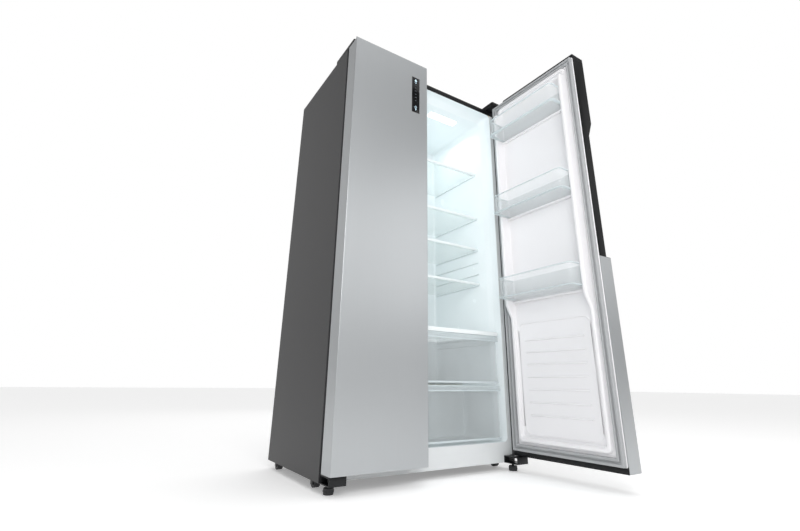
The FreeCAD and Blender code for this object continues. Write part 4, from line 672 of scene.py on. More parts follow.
def grow(name, tree_maker, values, start=None):
    """Run a geometry tree on a start mesh and keep the result as a plain mesh object."""
    if tree_maker not in TREES:
        TREES[tree_maker] = tree_maker()
    tree = TREES[tree_maker]
    data = start or bpy.data.meshes.new(name + "_start")
    seed = bpy.data.objects.new(name + "_seed", data)
    bpy.context.scene.collection.objects.link(seed)
    modifier = seed.modifiers.new("Shape", "NODES")
    modifier.node_group = tree
    for title, value in values.items():
        modifier[input_identifier(tree, title)] = value
    bpy.context.view_layer.update()
    result = bpy.data.meshes.new_from_object(seed.evaluated_get(bpy.context.evaluated_depsgraph_get()))
    bpy.data.objects.remove(seed)
    if not result.polygons:
        raise RuntimeError(f"{name} came out empty")
    obj = bpy.data.objects.new(name, result)
    bpy.context.scene.collection.objects.link(obj)
    mesh = bmesh.new()
    mesh.from_mesh(result)
    bmesh.ops.remove_doubles(mesh, verts=mesh.verts, dist=0.000001)
    bmesh.ops.recalc_face_normals(mesh, faces=mesh.faces)
    mesh.to_mesh(result)
    mesh.free()
    return smooth(obj, 35.0)


def bars(name, node, maker, row, section):
    """A row of rounded bars that rides with a CAD node.

    row is (count, first, step, run) and section is (width, height, radius), across the run.
    """
    titles = ("Count", "First", "Step", "Run", "Width", "Height", "Radius", "Material")
    values = dict(zip(titles, row + section + (finish_of(maker),)))
    return settle(grow(name, bar_row_tree, values), node)


def band(name, node, maker, points, section, closed=False):
    """A rounded band along points; section is (width, height, radius)."""
    data = bpy.data.meshes.new(name + "_path")
    edges = [(i, i + 1) for i in range(len(points) - 1)]
    if closed:
        edges.append((len(points) - 1, 0))
    data.from_pydata(points, edges, [])
    values = dict(zip(("Width", "Height", "Radius", "Material"), section + (finish_of(maker),)))
    return settle(grow(name, band_tree, values, data), node)


def scatter(name, master, maker, spots, aims):
    """Copies of a master object on spots, each turned to its own direction; the master goes."""
    points = bpy.data.meshes.new(name + "_points")
    points.from_pydata(spots, [], [])
    direction = points.attributes.new("direction", "FLOAT_VECTOR", "POINT")
    for i, aim in enumerate(aims):
        direction.data[i].vector = aim
    result = grow(name, scatter_tree, {"Piece": master, "Material": finish_of(maker)}, points)
    bpy.data.objects.remove(master)
    return result


# ---------------------------------------------------------------- operators


class FridgeOperator:
    """What the build steps share."""

    bl_options = {"REGISTER", "UNDO"}

    def execute(self, context):
        self.build(context.scene)
        return {"FINISHED"}


class FRIDGE_OT_sheet_metal(FridgeOperator, bpy.types.Operator):
    """Coat the steel skins, panels, base and frame"""

    bl_idname = "fridge.sheet_metal"
    bl_label = "Sheet metal"

    def build(self, scene):
        edge = scene.fridge_shape.edge
        coat_nodes(film_coated_steel, "fridge_door_skin", "freezer_door_skin")
        coat_nodes(textured_paint, "side_panel_left", "side_panel_right", "top_panel")
        soften("back_panel", edge, zinc_sheet)
        self.apron(soften("base_frame", edge / 2, satin_steel_paint, 1))
        soften("machine_cover", edge / 2, satin_steel_paint, 1)
        coat_nodes(pale_steel_paint, "front_frame")
        coat_nodes(insulation_foam, "insulation_foam")
        self.top_strip()

    def apron(self, base):
        """The front of the base is enamelled like the frame above it."""
        coat(base, satin_steel_paint, pale_steel_paint)
        front, back = (corner[1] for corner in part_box("front_frame"))
        for face in base.data.polygons:
            face.material_index = int(front - 0.0005 < face.center.y < back - 0.0002)

    def top_strip(self):
        """Black plastic strip pressed over the steel above the openings."""
        proud = 0.0003  # thin enough to clear the fridge door's seal
        low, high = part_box("top_panel")
        frame_low, frame_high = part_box("front_frame")
        mesh = bmesh.new()
        start = (frame_low[0], low[1] - proud, frame_high[2] - 0.001)
        rounded_bar(mesh, start, (frame_high[0], low[1] + 0.0004, high[2] - 0.0002), proud)
        make_piece("top_strip", mesh, "hinge_covers", black_abs)


class FRIDGE_OT_cavities(FridgeOperator, bpy.types.Operator):
    """Form both liners with their round corners, machine step and shelf rails"""

    bl_idname = "fridge.cavities"
    bl_label = "Cavities"

    BITE = 0.001  # how far the step and the rails sink into the liner's walls

    def build(self, scene):
        for side in (FRIDGE, FREEZER):
            self.liner(scene.fridge_shape, side)

    def liner(self, shape, side):
        """A formed sheet: straight throat, flare, then the narrower cavity."""
        node = side + "_liner"
        (x0, y0, z0), (x1, y1, z1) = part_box(node)
        x0, z0 = x0 + SHEET, z0 + SHEET
        x1, y1, z1 = x1 - SHEET, y1 - SHEET, z1 - SHEET
        left, right = x0 + shape.flare_side, x1 - shape.flare_side
        ceiling = z1 - shape.ceiling_drop
        radius = shape.cavity_radius
        throat = y0 + shape.throat

        def ring(y, near, far, top, inset=0.0):
            corner = max(radius - inset, 0.002)
            outline = rounded_ring((near + inset, z0 + inset), (far - inset, top - inset), corner, 7)
            return [(x, y, z) for x, z in outline]

        rings = [
            ring(y0 - 0.0005, x0, x1, z1, -0.0008),
            ring(y0 + 0.001, x0, x1, z1),
            ring(throat, x0, x1, z1),
        ]
        for i in range(1, ARC_STEPS + 1):
            share = i / ARC_STEPS
            near, far = x0 + (left - x0) * share, x1 + (right - x1) * share
            rings.append(ring(throat + shape.flare * share, near, far, z1 + (ceiling - z1) * share))
        back = radius * 0.7
        for u, v in arc((0.0, 0.0), back, 0.0)[1:]:
            rings.append(ring(y1 - back + v, left, right, ceiling, back - u))
        inner = object_of(node + "_look", loft(rings, close_start=False))
        thick = inner.modifiers.new("Sheet", "SOLIDIFY")
        thick.thickness = SHEET * 0.8
        thick.offset = -1.0
        self.face_inwards(inner)
        coat(inner, liner_polystyrene)
        settle(smooth(inner, 50.0), node, replaces=True)
        self.step(shape, side, (left, right, y0, y1, z0))
        self.rails(side, left, right)

    def face_inwards(self, inner):
        """The visible side of the formed sheet is its inside."""
        mesh = bmesh.new()
        mesh.from_mesh(inner.data)
        middle = sum((vert.co for vert in mesh.verts), Vector()) / len(mesh.verts)
        face = max(mesh.faces, key=lambda f: f.calc_area())
        if face.normal.dot(middle - face.calc_center_median()) < 0:
            bmesh.ops.reverse_faces(mesh, faces=mesh.faces)
        mesh.to_mesh(inner.data)
        mesh.free()

    def step(self, shape, side, room):
        """The raised floor at the rear, over the machine compartment."""
        left, right, front, back, floor = room
        mesh = bmesh.new()
        low = (left - self.BITE, front + shape.step_front, floor - self.BITE)
        high = (right + self.BITE, back + self.BITE, floor + shape.step_top)
        rounded_bar(mesh, low, high, 0.005, 3)
        make_piece(side + "_machine_step", mesh, side + "_liner", liner_polystyrene)

    def rails(self, side, left, right):
        """Rounded ribs under the shelves, the cover and the drawers, on both walls."""
        mesh = bmesh.new()
        spans = ((left - self.BITE, left + RAIL_REACH), (right - RAIL_REACH, right + self.BITE))
        for top, front, back in self.levels(side, left + RAIL_REACH):
            for near, far in spans:
                rounded_bar(mesh, (near, front, top - RAIL_HEIGHT), (far, back, top), 0.0022, 3)
        make_piece(side + "_rails", mesh, side + "_liner", liner_polystyrene)

    def levels(self, side, reach):
        """(height, front, back) of every rail, read from the CAD liner's ribs, which end at x = reach."""
        tops = {}
        for vert in frame["nodes"][side + "_liner"].data.vertices:
            if abs(vert.co.x - reach) < 0.0003:
                tops.setdefault(round(vert.co.z, 4), []).append(vert.co.y)
        heights = sorted(tops)
        found = []
        for bottom, top in zip(heights, heights[1:]):
            if abs(top - bottom - RAIL_HEIGHT) < 0.0004:
                found.append((top, min(tops[top]), max(tops[top])))
        return found


class FRIDGE_OT_door_panels(FridgeOperator, bpy.types.Operator):
    """Form the doors' inner panels with their ridges and ribs"""

    bl_idname = "fridge.door_panels"
    bl_label = "Door panels"

    CREST = 0.006  # radius of the ridge's round crest
    LEAN = 0.0015  # how far each side of the ridge leans in
    RAMP_STEPS = 14
    SLIM = (0.2, 0.8)  # share of the ridge's thickness and height that its foam keeps

    def build(self, scene):
        for side in (FRIDGE, FREEZER):
            self.panel(scene.fridge_shape, side)

    def panel(self, shape, side):
        """The formed sheet with the ridge that runs round it."""
        node = side + "_door_liner"
        (u0, v0, w0), (u1, _, w1) = door_box(side, node)
        face = v0 + SHEET
        skin_low, skin_high = door_box(side, side + "_door_skin")
        slope_low = skin_low[2] + shape.slope_low
        slope = shape.slope_high - shape.slope_low
        ridge_low = (u0 + shape.ridge_inset, skin_low[2] + shape.ridge_bottom)
        ridge_high = (u1 - shape.ridge_inset, skin_high[2] - shape.ridge_top)
        tall_end = ridge_high[1] - shape.ridge_drop
        cuts = [slope_low + slope * i / self.RAMP_STEPS for i in range(self.RAMP_STEPS + 1)]
        cuts += [tall_end - shape.end_ramp * (1 - i / ARC_STEPS) for i in range(ARC_STEPS + 1)]

        def ease(share):
            share = min(max(share, 0.0), 1.0)
            return share * share * (3 - 2 * share)

        def height(w):
            share = ease((w - slope_low) / slope) * ease((tall_end - w) / shape.end_ramp)
            return shape.ridge_low + (shape.ridge_height - shape.ridge_low) * share

        def plan(low, high, inset, radius):
            start = (low[0] + inset, low[1] + inset)
            return rounded_ring(start, (high[0] - inset, high[1] - inset), radius, 8, cuts)

        def ring(inset, radius, rise, sink=0.0):
            outline = plan(ridge_low, ridge_high, inset, max(radius, 0.003))
            return [(u, face + rise * height(w) - sink, w) for u, w in outline]

        def edge_ring(inset, v):
            return [(u, v, w) for u, w in plan((u0, w0), (u1, w1), inset, 0.004)]

        margin = door_box(side, side + "_door_gasket")[0][0] - u0 + 0.001
        radius = shape.ridge_radius
        width = shape.ridge_width
        lean, crest = self.LEAN, self.CREST
        turns = arc((0.0, 0.0), crest, 0.0)
        foot = radius - width * 0.4
        rings = [
            edge_ring(0.0, v0),
            edge_ring(0.0, face - 0.0008),
            edge_ring(0.0008, face),
            edge_ring(margin, face),
            # the foot is filleted, the wall leans a little, and the crest is round
            ring(-0.003, radius + 0.003, 0.0),
            ring(-0.0008, radius, 0.0, -0.0008),
            ring(0.0, radius, 0.0, -0.003),
        ]
        rings += [ring(lean + crest - u, radius - 0.002, 1.0, crest - v) for u, v in turns]
        rings += [ring(width - lean - crest + v, radius - width * 0.35, 1.0, crest - u) for u, v in turns]
        rings += [
            ring(width, foot, 0.0, -0.004),
            ring(width + 0.0012, foot, 0.0, -0.0012),
            ring(width + 0.004, foot, 0.0),
        ]
        mesh = loft(rings)
        mesh.faces.ensure_lookup_table()
        # black from the sheet's edge up to the seal: painted shade for the shadowed gap round the door's
        # edge, drawn as black plastic on the sheet's margin
        for i in range(3 * len(rings[0])):
            mesh.faces[i].material_index = 1
        makers = (door_polystyrene_painted_tone, black_abs)
        make_piece(node + "_look", hang(mesh, side), node, *makers, angle=50.0, replaces=True)
        ridge = (ridge_low, ridge_high, face)
        self.ribs(shape, side, ridge)
        self.recess(shape, side, ridge, slope_low)
        self.foam(shape, side, ridge)

    def foam(self, shape, side, ridge):
        """The door's foam, drawn slimmer inside the ridge so that it clears the round corners."""
        ridge_low, ridge_high, face = ridge
        across, up = self.SLIM
        node = side + "_door_foam"
        place = door_matrix(side)
        back = place.inverted()
        mesh = cad_mesh(node)
        core = shape.ridge_width / 2
        tall_end = ridge_high[1] - shape.ridge_drop

        def to_core(at, low, high):
            for edge, inwards in ((low, 1.0), (high, -1.0)):
                depth = (at - edge) * inwards
                if abs(depth - core) <= core:
                    return edge + inwards * (core + (depth - core) * across)
            return at

        for vert in mesh.verts:
            u, v, w = back @ vert.co
            inside = ridge_low[0] < u < ridge_high[0] and ridge_low[1] < w < ridge_high[1]
            if inside and v > face - 0.0025:
                rise = max(v - face, 0.0)
                depth = v if rise == 0.0 else face + rise * up
                along = to_core(w, ridge_low[1], ridge_high[1])
                if rise > 0.001 and abs(w - tall_end) < 0.004:
                    along = w - shape.end_ramp
                vert.co = place @ Vector((to_core(u, ridge_low[0], ridge_high[0]), depth, along))
        foam = object_of(node + "_look", mesh)
        coat(foam, insulation_foam)
        settle(foam, node, replaces=True)

    def recess(self, shape, side, ridge, slope_low):
        """A raised rounded border that frames the lower part of the panel."""
        ridge_low, ridge_high, face = ridge
        inset = shape.ridge_width + 0.011
        start = (ridge_low[0] + inset, ridge_low[1] + inset)
        outline = rounded_ring(start, (ridge_high[0] - inset, slope_low - 0.012), 0.03, 8)
        place = door_matrix(side)
        points = [place @ Vector((u, face + 0.0003, w)) for u, w in outline]
        name = side + "_door_panel_border"
        band(name, side + "_door_liner", door_polystyrene_painted_tone, points, (0.005, 0.003, 0.0014), closed=True)

    def ribs(self, shape, side, ridge):
        """Shallow pressed ribs across the lower panel."""
        ridge_low, ridge_high, face = ridge
        inset = shape.ridge_width + 0.045
        place = door_matrix(side)
        first = place @ Vector((ridge_low[0] + inset, face + 0.0002, ridge_low[1] + 0.105))
        run = place.to_3x3() @ Vector((ridge_high[0] - ridge_low[0] - 2 * inset, 0, 0))
        row = (shape.rib_count, first, (0, 0, shape.rib_pitch), run)
        name = side + "_door_panel_ribs"
        bars(name, side + "_door_liner", door_polystyrene_painted_tone, row, (0.007, 0.007, 0.0033))


class FRIDGE_OT_gaskets(FridgeOperator, bpy.types.Operator):
    """Extrude the magnetic seals with their two lips and the groove between them, which is coloured near
    black as painted shade
    """

    bl_idname = "fridge.gaskets"
    bl_label = "Gaskets"

    # (distance from the seal's outer edge, height) as shares of its width and depth
    PROFILE = (
        (0.00, 0.00), (0.00, 0.35), (0.05, 0.62), (0.02, 0.80), (0.07, 0.95), (0.16, 1.00), (0.30, 0.98),
        (0.37, 0.88), (0.39, 0.45), (0.45, 0.38), (0.58, 0.38), (0.64, 0.45), (0.66, 0.84), (0.72, 0.93),
        (0.90, 0.93), (0.97, 0.84), (1.00, 0.60), (0.96, 0.30), (1.00, 0.00),
    )
    SHADED_GROOVE_LAYERS = (8, 9, 10, 11)  # points of the outline that end a face of the groove, which takes the painted groove shade
    WIDTH = 0.027

    def build(self, scene):
        for side in (FRIDGE, FREEZER):
            node = side + "_door_gasket"
            (u0, v0, w0), (u1, v1, w1) = door_box(side, node)
            rings = []
            for across, rise in self.PROFILE:
                inset = across * self.WIDTH
                outline = rounded_ring((u0 + inset, w0 + inset), (u1 - inset, w1 - inset), 0.004, 3)
                rings.append([(u, v0 + rise * (v1 - v0), w) for u, w in outline])
            count = len(rings[0])
            mesh = loft(rings, close_start=False, close_end=False)
            mesh.faces.ensure_lookup_table()
            # the groove's faces take the near-black vinyl: painted shade in the recess
            for layer in self.SHADED_GROOVE_LAYERS:
                for i in range(count):
                    mesh.faces[(layer - 1) * count + i].material_index = 1
            mesh.verts.ensure_lookup_table()
            first = mesh.verts[:count]
            last = mesh.verts[-count:]
            for i in range(count):
                mesh.faces.new((first[(i + 1) % count], first[i], last[i], last[(i + 1) % count]))
            makers = (seal_rubber, painted_groove_shade)
            make_piece(node + "_look", hang(mesh, side), node, *makers, angle=40.0, replaces=True)


class FRIDGE_OT_door_bins(FridgeOperator, bpy.types.Operator):
    """Mould the clear door bins with their rims, sills and the ledges they rest on"""

    bl_idname = "fridge.door_bins"
    bl_label = "Door bins"

    CORNER = 0.018  # radius of a bin's front corners
    BAND_INSET = 0.0006
    FREEZER_BINS = 4

    def build(self, scene):
        for number in (1, 2, 3):
            node = f"fridge_door_basket_{number}"
            low, high = door_box(FRIDGE, node)
            if number == 1:
                tall = high[2] - low[2]
            self.bins(node, FRIDGE, [(low, high)])
        node = "freezer_door_baskets"
        low, high = door_box(FREEZER, node)
        pitch = (high[2] - low[2] - tall) / (self.FREEZER_BINS - 1)
        rooms = []
        for i in range(self.FREEZER_BINS):
            bottom = low[2] + i * pitch
            rooms.append(((low[0], low[1], bottom), (high[0], high[1], bottom + tall)))
        self.bins(node, FREEZER, rooms)

    def outline(self, low, high, inset, radius):
        """The bin's plan: square at the door, round in front."""
        u0, u1 = low[0] + inset, high[0] - inset
        v0, v1 = low[1] + inset, high[1] - inset
        far = arc((u1 - radius, v1 - radius), radius, 0.0)
        return [(u0, v0), (u1, v0)] + far + arc((u0 + radius, v1 - radius), radius, math.pi / 2)

    def shell(self, low, high):
        """A bin's skin, from the middle of the underside, up the outside, over the rim and down."""
        bottom, top = low[2], high[2]
        # (inset, height)
        profile = (
            (0.006, bottom), (0.002, bottom + 0.0006), (0.0004, bottom + 0.003), (0.0002, bottom + 0.05),
            (0.0, top - 0.004), (0.0004, top - 0.0006), (0.0013, top), (0.0022, top - 0.0006),
            (0.0026, top - 0.004), (0.0028, bottom + 0.010), (0.0045, bottom + 0.0065),
            (0.008, bottom + 0.0055),
        )
        rings = []
        for inset, w in profile:
            plan = self.outline(low, high, inset, self.CORNER - min(inset, 0.01))
            rings.append([(u, v, w) for u, v in plan])
        return loft(rings)

    def bins(self, node, side, rooms):
        """The bins of one node, with their frosted sills and rims and the steps under them."""
        shells = bmesh.new()
        for low, high in rooms:
            shell = hang(self.shell(low, high), side)
            holder = bpy.data.meshes.new("bin")
            shell.to_mesh(holder)
            shell.free()
            shells.from_mesh(holder)
            bpy.data.meshes.remove(holder)
        make_piece(node + "_look", shells, node, clear_san, angle=40.0, replaces=True)
        self.ledges(node, side, rooms)
        place = door_matrix(side)
        inset = self.BAND_INSET
        for number, (low, high) in enumerate(rooms):
            front = self.outline(low, high, inset, self.CORNER - inset)[2:]
            back = low[1] + 0.001
            plan = [(high[0] - inset, back)] + front + [(low[0] + inset, back)]
            # (name, height of the middle, how tall, how thick)
            bands = (("sill", low[2] + 0.009, 0.017, 0.0022), ("rim", high[2] - 0.004, 0.007, 0.0028))
            for word, level, tall, thick in bands:
                points = [place @ Vector((u, v, level)) for u, v in plan]
                band(f"{node}_{word}_{number}", node, milky_san, points, (tall, thick, 0.0009))

    def ledges(self, node, side, rooms):
        """Steps in the door's panel on which the bins rest."""
        mesh = bmesh.new()
        for low, high in rooms:
            start = (low[0] - 0.001, low[1] - 0.0005, low[2] - 0.009)
            rounded_bar(mesh, start, (high[0] + 0.001, low[1] + 0.014, low[2] - 0.0004), 0.003, 3)
        make_piece(node + "_ledges", hang(mesh, side), side + "_door_liner", door_polystyrene_painted_tone)


class FRIDGE_OT_drawers(FridgeOperator, bpy.types.Operator):
    """Mould the crispers and freezer drawers with their ribbed grips"""

    bl_idname = "fridge.drawers"
    bl_label = "Drawers"

    def build(self, scene):
        edge = scene.fridge_shape.edge
        pitch = scene.fridge_shape.lip_rib_pitch
        for node in ("crisper_upper", "crisper_lower", "freezer_drawer_upper", "freezer_drawer_lower"):
            soften(node, edge, clear_san)
            low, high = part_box(node)
            left, right = low[0] + 0.006, high[0] - 0.006
            front, bottom, top = low[1], low[2], high[2]
            # the grip's two bars over the clear lip, with a finger groove between, and a foot bar:
            # (reach past each end, front, back, lower edge, upper edge)
            frosted = (
                (0.004, -0.0012, 0.0008, top - 0.0222, top - 0.0175),
                (0.004, -0.0012, 0.0008, top - 0.003, top + 0.0008),
                (0.0, 0.0018, 0.0036, bottom + 0.001, bottom + 0.009),
            )
            mesh = bmesh.new()
            for past, near, far, lower, upper in frosted:
                start = (left - past, front + near, lower)
                rounded_bar(mesh, start, (right + past, front + far, upper), 0.0008)
            make_piece(node + "_grip", mesh, node, milky_san)
            count = int((right - left - 0.01) / pitch)
            row = (count, (left + 0.005, front - 0.0002, top - 0.018), (pitch, 0, 0), (0, 0, 0.0155))
            bars(node + "_grip_ribs", node, milky_san, row, (0.0014, 0.0014, 0.0006))


class FRIDGE_OT_shelves(FridgeOperator, bpy.types.Operator):
    """Give the shelves, cover, duct and rear covers their round edges"""

    bl_idname = "fridge.shelves"
    bl_label = "Shelves and covers"

    def build(self, scene):
        edge = scene.fridge_shape.edge
        for number in range(1, 5):
            soften(f"fridge_shelf_{number}", edge, tempered_glass)
        soften("freezer_shelves", edge, tempered_glass)
        soften("crisper_cover_glass", edge / 2, tempered_glass)
        soften("shelf_trims", edge * 1.5, white_abs, 3)
        soften("crisper_cover_frame", edge * 2, white_abs, 3)
        soften("fridge_duct_panel", edge, white_abs)
        soften("evaporator_cover", edge / 2, white_abs, 1)
        soften("cabinet_lamps", edge * 2, lamp_diffuser, 3)


class FRIDGE_OT_door_trim(FridgeOperator, bpy.types.Operator):
    """Finish the recessed handles, end caps and hinge covers"""

    bl_idname = "fridge.door_trim"
    bl_label = "Door trim"

    def build(self, scene):
        edge = scene.fridge_shape.edge
        soften("fridge_door_handle", edge, satin_black_abs)
        soften("freezer_door_handle", edge, black_abs)
        soften("fridge_door_end_caps", edge, black_abs)
        soften("freezer_door_end_caps", edge, black_abs)
        soften("hinge_covers", edge * 2, black_abs, 3)


class FRIDGE_OT_display(FridgeOperator, bpy.types.Operator):
    """Make the black glass display with its plain lit marks"""

    bl_idname = "fridge.display"
    bl_label = "Display"

    # marks as (height share, width share, thickness share, lit)
    BARS = (
        (0.93, 0.16, 0.020, True), (0.90, 0.30, 0.012, True), (0.79, 0.22, 0.010, False),
        (0.70, 0.16, 0.010, False), (0.61, 0.22, 0.010, False), (0.52, 0.16, 0.010, False),
        (0.43, 0.22, 0.010, False), (0.34, 0.16, 0.010, False), (0.10, 0.18, 0.012, True),
        (0.07, 0.10, 0.010, True),
    )
    # rings over and under the bars, as (number, height share, radius)
    RINGS = ((1, 0.855, 0.0042), (2, 0.155, 0.0052))

    def build(self, scene):
        node = "display_panel"
        soften(node, scene.fridge_shape.edge / 2, display_glass)
        (x0, y0, z0), (x1, _, z1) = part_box(node)
        middle = (x0 + x1) / 2
        marks = {True: bmesh.new(), False: bmesh.new()}
        for level, across, tall, lit in self.BARS:
            z = z0 + level * (z1 - z0)
            half = across * (x1 - x0) / 2
            thick = tall * (z1 - z0) / 2
            low = (middle - half, y0 - 0.00015, z - thick)
            rounded_bar(marks[lit], low, (middle + half, y0 + 0.0005, z + thick), 0.0001, 1)
        for lit, maker, word in ((True, lit_mark, "lit"), (False, dim_mark, "dim")):
            obj = object_of(f"display_{word}_marks", marks[lit])
            coat(obj, maker)
            settle(obj, node)
        for number, level, radius in self.RINGS:
            z = z0 + level * (z1 - z0)
            points = [(middle + u, y0, z + v) for u, v in circle(radius, 24)]
            section = (0.0008, 0.0008, 0.0002)
            band(f"display_ring_{number}", node, lit_mark, points, section, closed=True)


class FRIDGE_OT_machinery(FridgeOperator, bpy.types.Operator):
    """Finish the compressor, coils, fans, tray, boxes and gland"""

    bl_idname = "fridge.machinery"
    bl_label = "Machinery"

    def build(self, scene):
        edge = scene.fridge_shape.edge
        soften("compressor", edge, satin_steel_paint)
        coat_nodes(black_rubber, "compressor_mounts")
        coat_nodes(heat_exchanger_aluminium, "condenser", "evaporator")
        soften("fan_motors", edge, black_abs)
        soften("condenser_fan", edge / 2, black_abs, 1)
        soften("evaporator_fan", edge / 2, white_abs, 1)
        soften("drip_tray", edge, black_abs)
        soften("control_box", edge, black_abs)
        soften("cord_gland", edge, black_rubber)


class FRIDGE_OT_running_gear(FridgeOperator, bpy.types.Operator):
    """Finish the hinges, feet and rollers"""

    bl_idname = "fridge.running_gear"
    bl_label = "Hinges, feet and rollers"

    def build(self, scene):
        edge = scene.fridge_shape.edge
        soften("top_hinges", edge / 2, satin_steel_paint)
        soften("lower_hinges", edge / 2, satin_steel_paint)
        soften("rear_rollers", edge, grey_nylon)
        soften("front_rollers", edge, grey_nylon)
        for word in ("left", "right"):
            node = "front_foot_" + word
            coat_nodes(grey_nylon, node)
            self.knurls(node)

    def knurls(self, node):
        """Grip flutes round the foot's disc, for turning it by hand."""
        (x0, y0, z0), (x1, y1, _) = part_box(node)
        centre = Vector(((x0 + x1) / 2, (y0 + y1) / 2, z0 + 0.010))
        radius = 0.0168
        master = bmesh.new()
        rounded_bar(master, (-0.007, -0.0012, -0.0006), (0.007, 0.0012, 0.0008), 0.0005, 1)
        bmesh.ops.rotate(master, verts=master.verts, matrix=Matrix.Rotation(math.radians(90), 3, "Z"))
        aims = [Vector((x, y, 0.0)) for x, y in circle(1.0, 20)]
        spots = [centre + aim * radius for aim in aims]
        flute = object_of(node + "_flute", master)
        settle(scatter(node + "_flutes", flute, grey_nylon, spots, aims), node)


class FRIDGE_OT_screws(FridgeOperator, bpy.types.Operator):
    """Set cross-recessed screws at every fixing"""

    bl_idname = "fridge.screws"
    bl_label = "Screws"

    def build(self, scene):
        node = "cabinet_screws"
        master = object_of("screw_master", self.screw())
        spots, aims = zip(*self.heads(node))
        settle(scatter(node + "_look", master, bright_steel, spots, aims), node, replaces=True)

    def screw(self):
        """A pan head on a shank, with a cross pressed into it; the head's seat is at the origin."""
        steps = 24
        # (radius, height) up the outside
        profile = (
            (0.0024, -0.008), (0.0024, -0.0002), (0.0054, 0.0), (0.0055, 0.0009), (0.0050, 0.0019),
            (0.0038, 0.0026), (0.0030, 0.0028),
        )
        rings = [[(x, y, z) for x, y in circle(radius, steps)] for radius, z in profile]
        # the cross: four arms sunk into the head, as (reach, waist, height)
        for reach, waist, z in ((0.0026, 0.0009, 0.0028), (0.0020, 0.0006, 0.0012)):
            ring = []
            for x, y in circle(1.0, steps):
                radius = waist + (reach - waist) * abs(x * x - y * y) ** 6
                ring.append((radius * x, radius * y, z))
            rings.append(ring)
        return loft(rings)

    def heads(self, node):
        """Seat and direction of every screw, read from the loose parts of the CAD node."""
        mesh = cad_mesh(node)
        left = set(mesh.verts)
        while left:
            island = {left.pop()}
            queue = list(island)
            while queue:
                vert = queue.pop()
                for edge in vert.link_edges:
                    other = edge.other_vert(vert)
                    if other not in island:
                        island.add(other)
                        queue.append(other)
            left -= island
            low = [min(vert.co[i] for vert in island) for i in range(3)]
            high = [max(vert.co[i] for vert in island) for i in range(3)]
            middle = [(a + b) / 2 for a, b in zip(low, high)]
            axis = 2 if high[2] - low[2] > high[1] - low[1] else 1
            middle[axis] = high[axis] - 0.003
            direction = [0.0, 0.0, 0.0]
            direction[axis] = 1.0
            yield middle, direction
        mesh.free()


